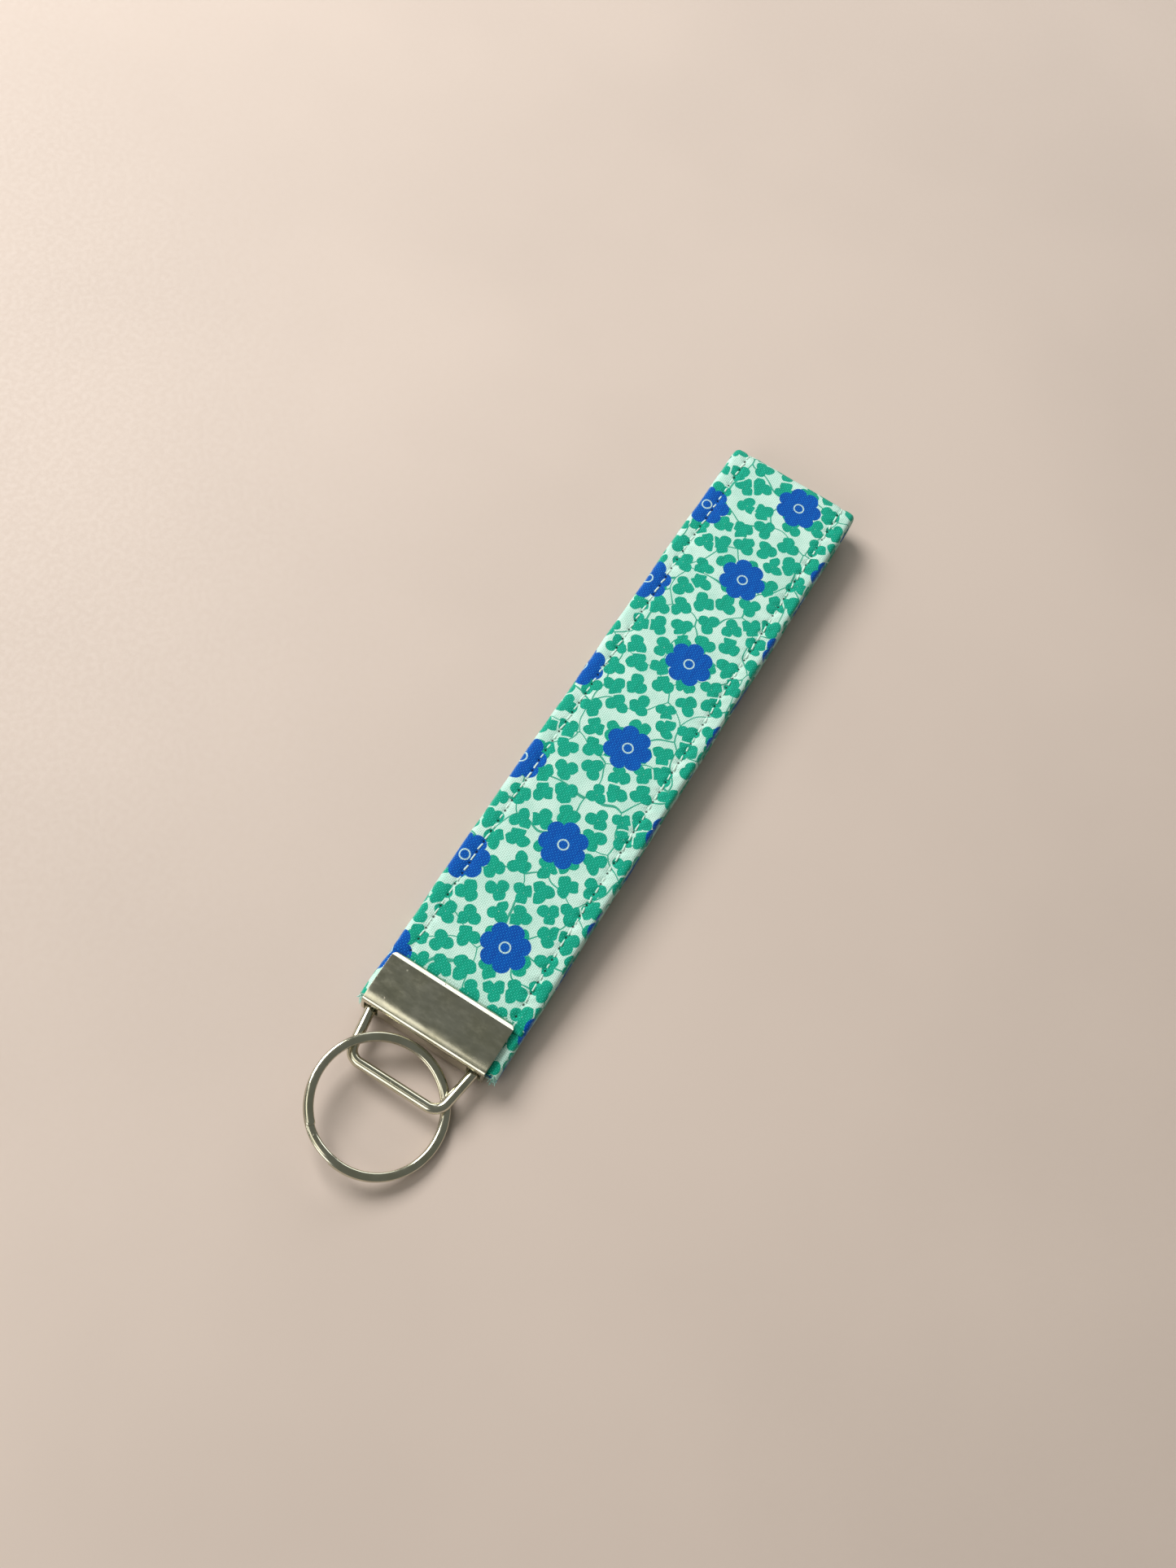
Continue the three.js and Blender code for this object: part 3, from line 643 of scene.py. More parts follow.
def strap_tube(name, s0, s1, sizes, surface):
    """A stretch of the printed sleeve: an outer skin and an inner skin, joined at both ends."""
    centre = sizes.shift / MM
    half_width = sizes.width / MM / 2
    pitch = sizes.stitch_pitch / MM
    section, full = section_points(half_width)
    s = np.linspace(s0, s1, max(8, int(round((s1 - s0) / STATION))) + 1)
    raw_low, raw_high = s0 < 0.01, s1 > ROUTE.length - 0.01
    m, rings = len(section), len(s)
    verts, us = [], []
    for skin in (0, 1):
        for k, at in enumerate(s):
            grid = np.full(m, at)
            if raw_low or raw_high:
                grid = np.array([at + notch(centre + p[0], at, raw_low) for p in section])
            x, z, half, nx, nz = ROUTE.at(np.clip(grid, 0, ROUTE.length))
            wave = 0.09 * math.sin(at * 0.23) + 0.05 * math.sin(at * 0.61 + 1.0)
            for j, (y, share, _, outer) in enumerate(section):
                h = half[j] + (relief(y, grid[j], pitch, outer) if abs(share) == 1.0 else -0.06)
                w = 1 + wave / half_width * (1 if y > 0 else -1) * 0.6
                if skin:
                    h -= SLEEVE_WALL
                    w -= SLEEVE_EDGE / half_width
                lift = h * share
                px, pz = x[j] + nx[j] * lift, z[j] + nz[j] * lift
                verts.append((px, centre + y * w, max(pz, 0.01)))
                if not skin:
                    us.append(grid[j])
    block = m * rings
    faces, uvs = [], []
    perimeter = [p[2] for p in section] + [full + section[0][2]]

    for skin in (0, 1):
        for k in range(rings - 1):
            for j in range(m):
                i = (j + 1) % m
                p0, p1 = perimeter[j], perimeter[j + 1]
                corners = [(k, j, p0), (k, i, p1), (k + 1, i, p1), (k + 1, j, p0)]
                faces.append(tuple(skin * block + a * m + b for a, b, _ in corners))
                shift = full if (p0 + p1) / 2 > full / 2 else 0.0
                uvs.append([(us[a * m + b], p - shift) for a, b, p in corners])
    for k in (0, rings - 1):
        for j in range(m):
            i = (j + 1) % m
            faces.append((k * m + j, k * m + i, block + k * m + i, block + k * m + j))
            shift = full if (perimeter[j] + perimeter[j + 1]) / 2 > full / 2 else 0.0
            a = (us[k * m + j], perimeter[j] - shift)
            b = (us[k * m + i], perimeter[j + 1] - shift)
            uvs.append([a, b, b, a])
    return strap_object(name, verts, faces, uvs, surface)


def strap_object(name, verts, faces, uvs, surface):
    """A piece of cloth whose print follows uvs: along the strap and round its section, in millimetres."""
    piece = mesh_piece(name, verts, faces, surface, uvs=uvs)
    sharpen(piece, 62)
    return piece


def core_strip(name, s0, s1, sizes, surface):
    """A stretch of the webbing inside the sleeve."""
    centre = sizes.shift / MM
    half_width = sizes.width / MM / 2 - SLEEVE_EDGE - CORE_SIDE_GAP
    if s0 < 0.01:
        s0 = CORE_SET_BACK
    if s1 > ROUTE.length - 0.01:
        s1 = ROUTE.length - CORE_SET_BACK
    s = np.linspace(s0, s1, max(4, int(round((s1 - s0) / (2 * STATION)))) + 1)
    x, z, half, nx, nz = ROUTE.at(s)
    side = [0.0, 4.5, 9.0, 11.1, half_width - 0.35, half_width]
    lines = [-y for y in reversed(side[1:])] + side
    around = [(y, 1.0) for y in lines] + [(y, -1.0) for y in reversed(lines)]
    verts, uvs = [], []
    m = len(around)
    for k in range(len(s)):
        h = half[k] - SLEEVE_WALL - CORE_FACE_GAP
        for y, share in around:
            edge = 0.55 if abs(y) > half_width - 0.1 else 1.0
            row = 0.10 * math.exp(-(((abs(y) - FACE_ROW) / 0.8) ** 2))
            lift = (h * edge - row) * share
            verts.append((x[k] + nx[k] * lift, centre + y, z[k] + nz[k] * lift))
    faces = grid_faces(len(s), m)
    for k in range(len(s) - 1):
        for j in range(m):
            a, b = around[j][0], around[(j + 1) % m][0]
            uvs.append([(s[k], a), (s[k], b), (s[k + 1], b), (s[k + 1], a)])
    for k, flip in ((0, False), (len(s) - 1, True)):
        ring = [k * m + j for j in range(m)]
        faces.append(tuple(ring if flip else ring[::-1]))
        pairs = [(s[k] + around[j][1], around[j][0]) for j in range(m)]
        uvs.append(pairs if flip else pairs[::-1])
    return strap_object(name, verts, faces, uvs, surface)


def nose_bulge(sizes, surface):
    """The rounded bend of cloth at the mouth, covered by the upper layer until the loop opens."""
    centre = sizes.shift / MM
    inset, radius, rounding, depth = 0.45, 0.96, 0.95, 1.4
    half_width = sizes.width / MM / 2 - inset
    lines = np.linspace(-half_width, half_width, 61)
    verts, uvs = [], []
    turns = [math.radians(a) for a in range(-90, 91, 12)]
    s_mouth = CUTS["mouth"]
    count = len(turns) + 2
    for y in lines:
        edge = abs(y) - (half_width - 0.9)
        r = radius * (0.2 + 0.8 * math.sqrt(max(0.0, 1 - (max(edge, 0) / rounding) ** 2)))
        x, z = NOSE_CENTRE
        ring = [(x - depth, z - r * 0.9)]
        ring += [(x + r * math.cos(a), z + r * math.sin(a)) for a in turns]
        ring.append((x - depth, z + r * 0.55))
        verts += [(px, centre + y, pz) for px, pz in ring]
    faces = grid_faces(len(lines), count)
    for i in range(len(lines) - 1):
        for j in range(count):
            corners = ((i, j), (i, j + 1), (i + 1, j + 1), (i + 1, j))
            uvs.append([(s_mouth + BULGE_LENGTH * p / count, lines[q]) for q, p in corners])
    for i, flip in ((0, True), (len(lines) - 1, False)):
        ring = [i * count + j for j in range(count)]
        faces.append(tuple(ring[::-1] if flip else ring))
        pairs = [(s_mouth + BULGE_LENGTH * j / count, lines[i]) for j in range(count)]
        uvs.append(pairs[::-1] if flip else pairs)
    return strap_object("mouth_fold", verts, faces, uvs, surface)


# ---------------------------------------------------------------- stitches

def stitch_tree(surface):
    """Geometry Nodes: one bowed stitch of thread on each point, turned along the row."""
    tree = bpy.data.node_groups.new("topstitching", "GeometryNodeTree")
    face = tree.interface
    face.new_socket(name="Geometry", in_out="INPUT", socket_type="NodeSocketGeometry")
    for name in ("Stitch Length", "Thread Diameter", "Bow", "Sink"):
        face.new_socket(name=name, in_out="INPUT", socket_type="NodeSocketFloat")
    face.new_socket(name="Seed", in_out="INPUT", socket_type="NodeSocketInt")
    face.new_socket(name="Geometry", in_out="OUTPUT", socket_type="NodeSocketGeometry")
    n = Nodes(tree)
    given = n.new("NodeGroupInput")
    out = n.new("NodeGroupOutput")
    length, diameter, bow, sink = (given.outputs[k] for k in ("Stitch Length", "Thread Diameter", "Bow", "Sink"))
    seed = given.outputs["Seed"]
    half = n.mul(length, 0.5)
    down = n.mul(sink, -1.0)
    start = n.combine(n.mul(half, -1.0), 0.0, down)
    end = n.combine(half, 0.0, down)
    middle = n.combine(0.0, 0.0, bow)
    line = n.new("GeometryNodeCurveQuadraticBezier", {
        "Resolution": 6, "Start": start, "Middle": middle, "End": end,
    })
    round_ = n.new("GeometryNodeCurvePrimitiveCircle", {
        "Resolution": 6, "Radius": n.mul(diameter, 0.5),
    })
    stitch = n.new("GeometryNodeCurveToMesh", {
        "Curve": line.outputs[0], "Profile Curve": round_.outputs[0], "Fill Caps": True,
    })
    along, outward, reach = (
        n.new("GeometryNodeInputNamedAttribute", {"Name": key}, data_type=kind).outputs[0]
        for key, kind in (("along", "FLOAT_VECTOR"), ("outward", "FLOAT_VECTOR"), ("reach", "FLOAT"))
    )
    first = n.new("FunctionNodeAlignRotationToVector", {"Vector": along}, axis="X")
    second = n.new("FunctionNodeAlignRotationToVector", {"Rotation": first.outputs[0], "Vector": outward},
                   axis="Z", pivot_axis="X")
    loose = n.new("FunctionNodeRandomValue", {"Seed": seed}, data_type="FLOAT")
    loose.inputs[2].default_value, loose.inputs[3].default_value = 0.82, 1.15
    size = n.combine(n.math("DIVIDE", reach, length), loose.outputs[1], loose.outputs[1])
    placed = n.new("GeometryNodeInstanceOnPoints", {
        "Points": given.outputs["Geometry"], "Instance": stitch.outputs[0],
        "Rotation": second.outputs[0], "Scale": size,
    })
    real = n.new("GeometryNodeRealizeInstances", {"Geometry": placed.outputs[0]})
    smooth = n.new("GeometryNodeSetShadeSmooth", {"Geometry": real.outputs[0]})
    coated = n.new("GeometryNodeSetMaterial", {"Geometry": smooth.outputs[0], "Material": surface})
    tree.links.new(coated.outputs[0], out.inputs[0])
    return tree


def set_inputs(modifier, **values):
    """Sets named inputs of a Geometry Nodes modifier through their identifiers."""
    items = modifier.node_group.interface.items_tree
    sockets = {i.name: i.identifier for i in items if i.item_type == "SOCKET" and i.in_out == "INPUT"}
    for name, value in values.items():
        modifier[sockets[name.replace("_", " ").title()]] = value


def stitch_row(name, s0, s1, side, sizes, tree):
    """Both faces' stitches of one row, as a plain mesh."""
    pitch = sizes.stitch_pitch / MM
    rng = random.Random(f"{name}-{side}")
    first = math.ceil((max(s0, ROUTE.lower(ROW_START)) + 0.02) / pitch)
    last = math.floor((min(s1, ROUTE.upper(ROW_STOP)) - 0.02) / pitch)
    centre = sizes.shift / MM
    points, along, outward, reach = [], [], [], []
    # A stitch that crosses a cut goes to the stretch that holds its middle
    if s0 > 0 and (first - 0.5) * pitch > s0:
        first -= 1
    if s1 < ROUTE.upper(ROW_STOP + 0.1) and (last + 0.5) * pitch <= s1:
        last += 1
    for k in range(first, last):
        a, b = k * pitch, (k + 1) * pitch
        x, z, half, nx, nz = ROUTE.at([a, (a + b) / 2, b])
        for face in (1, -1):
            ends = [(x[i] + face * nx[i] * half[i], z[i] + face * nz[i] * half[i]) for i in (0, 2)]
            tx, tz = ends[1][0] - ends[0][0], ends[1][1] - ends[0][1]
            h = half[1] + relief(FACE_ROW, (a + b) / 2, pitch, face > 0) - 0.04
            px, pz = x[1] + face * nx[1] * h, z[1] + face * nz[1] * h
            slant = rng.uniform(-0.10, 0.10) + 0.10 * side
            along.append((tx, math.hypot(tx, tz) * slant, tz))
            outward.append((face * nx[1], 0.0, face * nz[1]))
            reach.append(math.hypot(tx, tz) * rng.uniform(0.44, 0.62) * MM)
            y = side * FACE_ROW + rng.uniform(-0.06, 0.06)
            points.append((px * MM, (centre + y) * MM, max(pz, 0.24) * MM))
    mesh = bpy.data.meshes.new(name)
    mesh.from_pydata(points, [], [])
    for key, kind, field, data in (
        ("along", "FLOAT_VECTOR", "vector", along), ("outward", "FLOAT_VECTOR", "vector", outward),
        ("reach", "FLOAT", "value", reach),
    ):
        attribute = mesh.attributes.new(key, kind, "POINT")
        attribute.data.foreach_set(field, np.array(data, np.float32).ravel())
    piece = add_object(name, mesh)
    modifier = piece.modifiers.new("topstitching", "NODES")
    modifier.node_group = tree
    set_inputs(modifier, stitch_length=sizes.stitch_pitch, thread_diameter=sizes.thread,
               bow=0.00014, sink=0.00020, seed=11)
    return apply_modifiers(piece)


# ---------------------------------------------------------------- properties

def length_of(name, description, value):
    return FloatProperty(name=name, description=description, default=value, unit="LENGTH", subtype="DISTANCE")


def colour_of(name, description, value):
    return FloatVectorProperty(
        name=name, description=description, default=value, size=3, min=0.0, max=1.0, subtype="COLOR",
    )


class StrapSizes(bpy.types.PropertyGroup):
    """Sizes of the fabric strap."""
    width: length_of("Width", "Width of the sewn strap", 0.0286)
    shift: length_of("Side shift", "How far the strap sits off the middle of the clamp", -0.00065)
    stitch_pitch: length_of("Stitch length", "Distance between needle holes", 0.0024)
    thread: length_of("Thread", "Diameter of the sewing thread", 0.00038)
    weave: length_of("Weave", "Distance between neighbouring yarns", 0.00037)
    edge_at: FloatProperty(
        name="Edge position", default=15.0,
        description="Distance around the section from the middle of a face to the folded edge, in millimetres",
    )
    inner_row_at: FloatProperty(
        name="Inner row position", default=18.89,
        description="Distance around the section to the stitching on the inner face, in millimetres",
    )


class MetalSizes(bpy.types.PropertyGroup):
    """Sizes of the clamp, the bail and the ring."""
    wall: length_of("Plate", "Thickness of the clamp's plate", 0.0008)
    wire: length_of("Bail wire", "Diameter of the bail's wire", 0.002)
    ring_radial: length_of("Ring wire width", "Size of the ring's wire across the ring", 0.00165)
    ring_axial: length_of("Ring wire height", "Size of the ring's wire along its axis", 0.00094)
    edge: length_of("Edge rounding", "Rounding of the plate's cut edges", 0.00022)
    teeth: IntProperty(name="Teeth", description="Teeth along each plate", default=10, min=2, max=20)


class Look(bpy.types.PropertyGroup):
    """Colours and print sizes."""
    ground: colour_of("Ground", "Unprinted cloth", (0.63, 0.86, 0.78))
    ground_shade: colour_of("Ground shade", "Unprinted cloth where it is duller", (0.51, 0.78, 0.69))
    leaf: colour_of("Leaf", "Green of the leaves", (0.006, 0.385, 0.255))
    leaf_shade: colour_of("Leaf shade", "Green where the yarn is thicker", (0.003, 0.30, 0.195))
    # Painted highlight: the green shown where the raised yarn crossings catch the light
    leaf_highlight: colour_of("Leaf light", "Green on the raised crossings of the yarns", (0.06, 0.64, 0.50))
    flower: colour_of("Flower", "Blue of the petals", (0.0015, 0.095, 0.47))
    flower_shade: colour_of("Flower shade", "Blue where the yarn is thicker", (0.0008, 0.062, 0.37))
    # Painted highlight: the blue shown where the raised yarn crossings catch the light
    flower_highlight: colour_of("Flower light", "Blue on the raised crossings of the yarns", (0.015, 0.27, 0.80))
    webbing: colour_of("Webbing", "Cotton webbing inside the sleeve", (0.78, 0.76, 0.70))
    # Painted shade between the webbing's ribs, mixed with its random tone
    webbing_shade: colour_of("Webbing shade", "Webbing between its ribs", (0.58, 0.56, 0.50))
    thread: colour_of("Thread", "Sewing thread", (0.68, 0.86, 0.77))
    # Painted shade between the plies of the sewing thread
    thread_shade: colour_of("Thread shade", "Thread between its plies", (0.50, 0.68, 0.60))
    yarn_shade: colour_of("Yarn shade", "Print colour left in the frayed yarns", (0.10, 0.50, 0.40))
    nickel: colour_of("Nickel", "Nickel plate", (0.66, 0.64, 0.53))
    nickel_shade: colour_of("Nickel shade", "Nickel plate where it is duller", (0.57, 0.55, 0.42))
    floor: colour_of("Floor", "Plain floor", (0.60, 0.50, 0.44))
    polish: FloatProperty(
        name="Polish", description="Roughness of the nickel at its smoothest", default=0.13, min=0.02, max=1.0,
    )
    leaf_spacing: length_of("Leaf spacing", "Distance between leaves in the print", 0.0046)
    lobe_spread: length_of("Lobe spread", "Middle of a leaf to the middle of each lobe", 0.00112)
    lobe_size: length_of("Lobe size", "Width of a leaf's lobe", 0.00232)
    flower_shift: length_of("Flower shift", "How far the rows of flowers sit to one side", 0.0022)
    flower_start: length_of("First flower", "Strap's lower raw end to the first flower", 0.0134)
    flower_size: length_of("Flower size", "Width of a flower", 0.0095)
    flower_run: length_of("Flower spacing", "Distance between flowers along a row", 0.0226)
    flower_row: length_of("Row spacing", "Distance between rows of flowers", 0.0164)


SURFACES = {}


def finish_of(context, name):
    """The finish of that name, made the first time it is asked for."""
    if name in SURFACES:
        return SURFACES[name]
    look, sizes = context.scene.keychain_look, context.scene.keychain_strap
    makers = {
        "printed_cotton": lambda: printed_cotton(look, sizes),
        "cotton_webbing": lambda: webbing_surface(look),
        "sewing_thread": lambda: thread_surface("sewing_thread", look.thread, look.thread_shade),
        "loose_yarn": lambda: thread_surface("loose_yarn", look.ground, look.yarn_shade),
        "nickel_plate": lambda: nickel_surface("nickel_plate", look, (1.0, 0.4, 1.0)),
        "nickel_wire": lambda: nickel_surface("nickel_wire", look, (1.0, 1.0, 1.0)),
        "pale_floor": lambda: floor_surface(look),
    }
    SURFACES[name] = makers[name]()
    return SURFACES[name]


# ---------------------------------------------------------------- operators

class KEYCHAIN_OT_stage(bpy.types.Operator):
    """Adds the floor, the lights, the surroundings and the camera"""
    bl_idname = "keychain.stage"
    bl_label = "Stage"

    def execute(self, context):
        scene = context.scene
        mesh = bpy.data.meshes.new("floor")
        bm = bmesh.new()
        bmesh.ops.create_grid(bm, x_segments=8, y_segments=8, size=1.5)
        bm.to_mesh(mesh)
        bm.free()
        for vertex in mesh.vertices:
            vertex.co.z = -0.00002
        floor = add_object("floor", mesh)
        mesh.materials.append(finish_of(context, "pale_floor"))

        centre = Vector((0.055, 0.0, 0.004))

        def softbox(name, direction, distance, size, power, tint):
            light = bpy.data.lights.new(name, "AREA")
            light.shape = "RECTANGLE"
            light.size, light.size_y = size
            light.energy = power
            light.color = tint
            lamp = add_object(name, light)
            lamp.location = centre + Vector(direction).normalized() * distance
            lamp.rotation_euler = (centre - lamp.location).to_track_quat("-Z", "Y").to_euler()

        softbox("key_light", (0.30, 0.95, 0.98), 0.9, (0.55, 0.45), 9.0, (1.0, 0.985, 0.95))
        softbox("fill_light", (-1.0, 0.30, 0.62), 1.1, (0.7, 0.6), 3.0, (1.0, 0.97, 0.92))
        softbox("back_light", (1.0, 0.15, 0.50), 1.2, (1.0, 0.4), 2.8, (0.96, 0.98, 1.0))
        softbox("top_light", (-0.30, 0.29, 0.90), 0.9, (0.34, 0.34), 0.55, (1.0, 0.96, 0.86))

        world = bpy.data.worlds.new("studio")
        world.use_nodes = True
        background = world.node_tree.nodes["Background"]
        background.inputs["Color"].default_value = (0.93, 0.97, 0.87, 1.0)
        background.inputs["Strength"].default_value = 0.17
        scene.world = world

        data = bpy.data.cameras.new("camera")
        data.sensor_width = 36.0
        data.lens = 36.54
        data.clip_start, data.clip_end = 0.01, 10.0
        camera = add_object("camera", data)
        right = Vector((0.51047, -0.84953, 0.13311))
        up = Vector((0.76232, 0.51871, 0.38706))
        back = Vector((-0.39786, -0.09611, 0.9124))
        pose = Matrix((right, up, back)).transposed().to_4x4()
        pose.translation = (-0.06727, -0.02826, 0.28021)
        camera.matrix_world = pose
        scene.camera = camera
        scene.view_settings.view_transform = "Standard"
        return {"FINISHED"}


class KEYCHAIN_OT_sleeve(bpy.types.Operator):
    """Adds the printed sleeve, stretch by stretch"""
    bl_idname = "keychain.sleeve"
    bl_label = "Printed sleeve"

    def execute(self, context):
        sizes = context.scene.keychain_strap
        surface = finish_of(context, "printed_cotton")
        for name, a, b, motion in STRETCHES:
            s0, s1 = CUTS[a], CUTS[b]
            piece = strap_tube("cover_" + name, s0, s1, sizes, surface)
            stand_for("sleeve_", name)
            place_on(piece, motion)
        nose = nose_bulge(sizes, surface)
        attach(nose, "base")
        return {"FINISHED"}


class KEYCHAIN_OT_core(bpy.types.Operator):
    """Adds the webbing inside the sleeve"""
    bl_idname = "keychain.core"
    bl_label = "Webbing core"

    def execute(self, context):
        sizes = context.scene.keychain_strap
        surface = finish_of(context, "cotton_webbing")
        for name, a, b, motion in STRETCHES:
            s0, s1 = CUTS[a], CUTS[b]
            piece = core_strip("webbing_" + name, s0, s1, sizes, surface)
            stand_for("core_", name)
            place_on(piece, motion)
        return {"FINISHED"}


class KEYCHAIN_OT_topstitching(bpy.types.Operator):
    """Adds the two rows of stitching on both faces"""
    bl_idname = "keychain.topstitching"
    bl_label = "Topstitching"

    def execute(self, context):
        sizes = context.scene.keychain_strap
        tree = stitch_tree(finish_of(context, "sewing_thread"))
        for name, a, b, motion in STRETCHES:
            if name == "clamped_end":
                continue
            for side, label in ((1, "left"), (-1, "right")):
                piece = stitch_row(f"stitches_{label}_{name}", CUTS[a], CUTS[b], side, sizes, tree)
                if not piece.data.polygons:
                    raise RuntimeError(f"no stitches were made for {piece.name}")
                stand_for(f"topstitch_{label}_", name)
                place_on(piece, motion)
        return {"FINISHED"}


class KEYCHAIN_OT_loose_threads(bpy.types.Operator):
    """Adds the frayed yarns at the strap's raw ends, beside the clamp"""
    bl_idname = "keychain.loose_threads"
    bl_label = "Frayed yarns"

    def execute(self, context):
        rng = random.Random(5)
        yarns = {1: 46, -1: 30}
        centre = context.scene.keychain_strap.shift / MM
        half_width = context.scene.keychain_strap.width / MM / 2
        verts, faces = [], []
        circle = [(0.08 * math.cos(k * math.pi / 2.5), 0.08 * math.sin(k * math.pi / 2.5)) for k in range(5)]
        for side in (1, -1):
            for _ in range(yarns[side]):
                edge = rng.random() ** 0.6
                y = centre + side * (12.9 + edge * (half_width - 13.3))
                z = rng.choice([rng.uniform(1.3, 3.1), rng.uniform(3.9, 5.7)])
                reach = rng.uniform(0.45, 1.5)
                drift_y, drift_z = rng.uniform(-0.35, 0.6) * side, rng.uniform(-0.5, 0.45)
                path = [
                    (-3.7 - reach * t, y + drift_y * t * t, max(0.2, z + drift_z * t * t - 0.25 * t * t))
                    for t in (k / 5 for k in range(6))
                ]
                v, f = sweep(path, circle, (0, 0, 1))
                faces += [tuple(i + len(verts) for i in face) for face in f]
                verts += v
        piece = mesh_piece("frayed_yarns", verts, faces, finish_of(context, "loose_yarn"))
        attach(piece, "base")
        return {"FINISHED"}


class KEYCHAIN_OT_clamp(bpy.types.Operator):
    """Adds the folded nickel clamp with its slots and teeth"""
    bl_idname = "keychain.clamp"
    bl_label = "Clamp"

    def execute(self, context):
        sizes = context.scene.keychain_metal
        wall = sizes.wall / MM
        front, back = CLAMP_HIGH.x / MM, CLAMP_LOW.x / MM
        top, side = CLAMP_HIGH.z / MM, CLAMP_HIGH.y / MM
        bend, corner = 1.05, 1.5           # radii: outside of the spine's bends, corners at the mouth
        lip, lip_slope = 1.4, 0.42         # the plate turns in over the last of its length
        press = 0.13                       # the lip's right end is pressed in this much further
        droop, run = 0.35, 2.4             # each plate sinks towards the spine
        slot_y = ((9.25, 12.15), (-12.15, -9.25))
        slot_z = (top / 2 - 2.1, top / 2 + 2.1)

        # Upper half of the plate's outside, from the mouth to the middle of the spine
        lean = 2 * droop / run
        flat_end = back + bend * (1 - math.sin(lean))
        flat = np.concatenate([np.linspace(front, front - 1.8, 19), np.linspace(front - 1.8, flat_end, 17)[1:]])
        upper = []
        for x in flat:
            d = x - (front - lip)
            turned = lip_slope * (d - 0.15 + math.hypot(d - 0.15, 0.10)) / 2
            turned += 0.26 * max(0.0, (d - lip + 0.45) / 0.45) ** 2
            fall = droop * (max(0.0, flat_end + run - x) / run) ** 2
            upper.append((float(x), top - turned - fall - 0.05 * (x / front) ** 2))
        middle = upper[-1][1] - bend * math.cos(lean)
        for k in range(1, 13):
            a = math.pi / 2 + lean + (math.pi / 2 - lean) * k / 12
            upper.append((back + bend + bend * math.cos(a), middle + bend * math.sin(a)))
        upper += [(back, z) for z in (slot_z[1], top / 2 + 1.2, top / 2)]
        profile = upper + [(x, top - z) for x, z in reversed(upper[:-1])]

        normals = []
        for i in range(len(profile)):
            a, b = profile[max(i - 1, 0)], profile[min(i + 1, len(profile) - 1)]
            dx, dz = b[0] - a[0], b[1] - a[1]
            length = math.hypot(dx, dz)
            normals.append((-dz / length, dx / length))
        columns = sorted({0.0, side, -side} | {y for pair in slot_y for y in pair}
                         | {round(y, 3) for y in np.linspace(-side + 1.5, side - 1.5, 13)}
                         | {side - 0.25, -side + 0.25, side - 0.9, -side + 0.9})
        rows, cols = len(profile), len(columns)
        verts = []
        for skin in (0, 1):
            for (x, z), (nx, nz) in zip(profile, normals):
                reach = x - (front - corner)
                limit = side if reach <= 0 else side - corner + math.sqrt(max(0.0, corner ** 2 - reach ** 2))
                pressed = press * max(0.0, x - (front - lip)) / lip * (1 if z > top / 2 else -1)
                for y in columns:
                    px, pz = (x + nx * wall, z + nz * wall) if skin else (x, z)
                    verts.append((px, y * limit / side, pz - pressed * (1 - y / side) / 2))
        block = rows * cols

        def kept(i, j):
            z = (profile[i][1] + profile[i + 1][1]) / 2
            y = (columns[j] + columns[j + 1]) / 2
            on_spine = max(profile[i][0], profile[i + 1][0]) < back + 0.02
            return not (on_spine and slot_z[0] < z < slot_z[1] and any(a < y < b for a, b in slot_y))

        faces, border = [], {}
        for i in range(rows - 1):
            for j in range(cols - 1):
                if not kept(i, j):
                    continue
                quad = (i * cols + j, i * cols + j + 1, (i + 1) * cols + j + 1, (i + 1) * cols + j)
                faces.append(quad)
                faces.append(tuple(block + q for q in reversed(quad)))
                for k in range(4):
                    edge = (quad[k], quad[(k + 1) % 4])
                    border[frozenset(edge)] = border.get(frozenset(edge), []) + [edge]
        for found in border.values():
            if len(found) == 1:
                a, b = found[0]
                faces.append((b, a, block + a, block + b))
        plate = mesh_piece("clamp_plate", verts, faces, finish_of(context, "nickel_plate"))
        bevel = plate.modifiers.new("edges", "BEVEL")
        bevel.width = sizes.edge
        bevel.segments = 3
        bevel.limit_method = "ANGLE"
        bevel.angle_limit = math.radians(42)
        bevel.use_clamp_overlap = True
        apply_modifiers(plate)
        sharpen(plate, 50)

        # Teeth: blunt wedges pressed out of both plates just inside the mouth
        verts, faces = [], []
        pitch, high, half, buried = 2.2, 0.8, 0.92, 0.2
        levels = ((0.0, half, 0.0), (0.72, half * 0.32, 0.10), (1.0, half * 0.10, 0.22))
        x0, x1 = front - 1.3, front - 0.5
        for k in range(sizes.teeth):
            y = (k - (sizes.teeth - 1) / 2) * pitch
            for low in (True, False):
                root = wall - buried if low else top - wall + buried
                tip = wall + high if low else top - wall - high
                start = len(verts)
                for level, spread, inset in levels:
                    z = root + (tip - root) * level
                    a, b = x0 + inset, x1 - inset
                    verts += [(a, y - spread, z), (b, y - spread, z), (b, y + spread, z), (a, y + spread, z)]
                faces += [tuple(start + i for i in face) for face in tube_faces(len(levels), 4)]
        teeth = mesh_piece("clamp_teeth", verts, faces, finish_of(context, "nickel_plate"), smooth=False)
        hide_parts("clamp")
        for piece in (plate, teeth):
            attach(piece, "base")
        return {"FINISHED"}


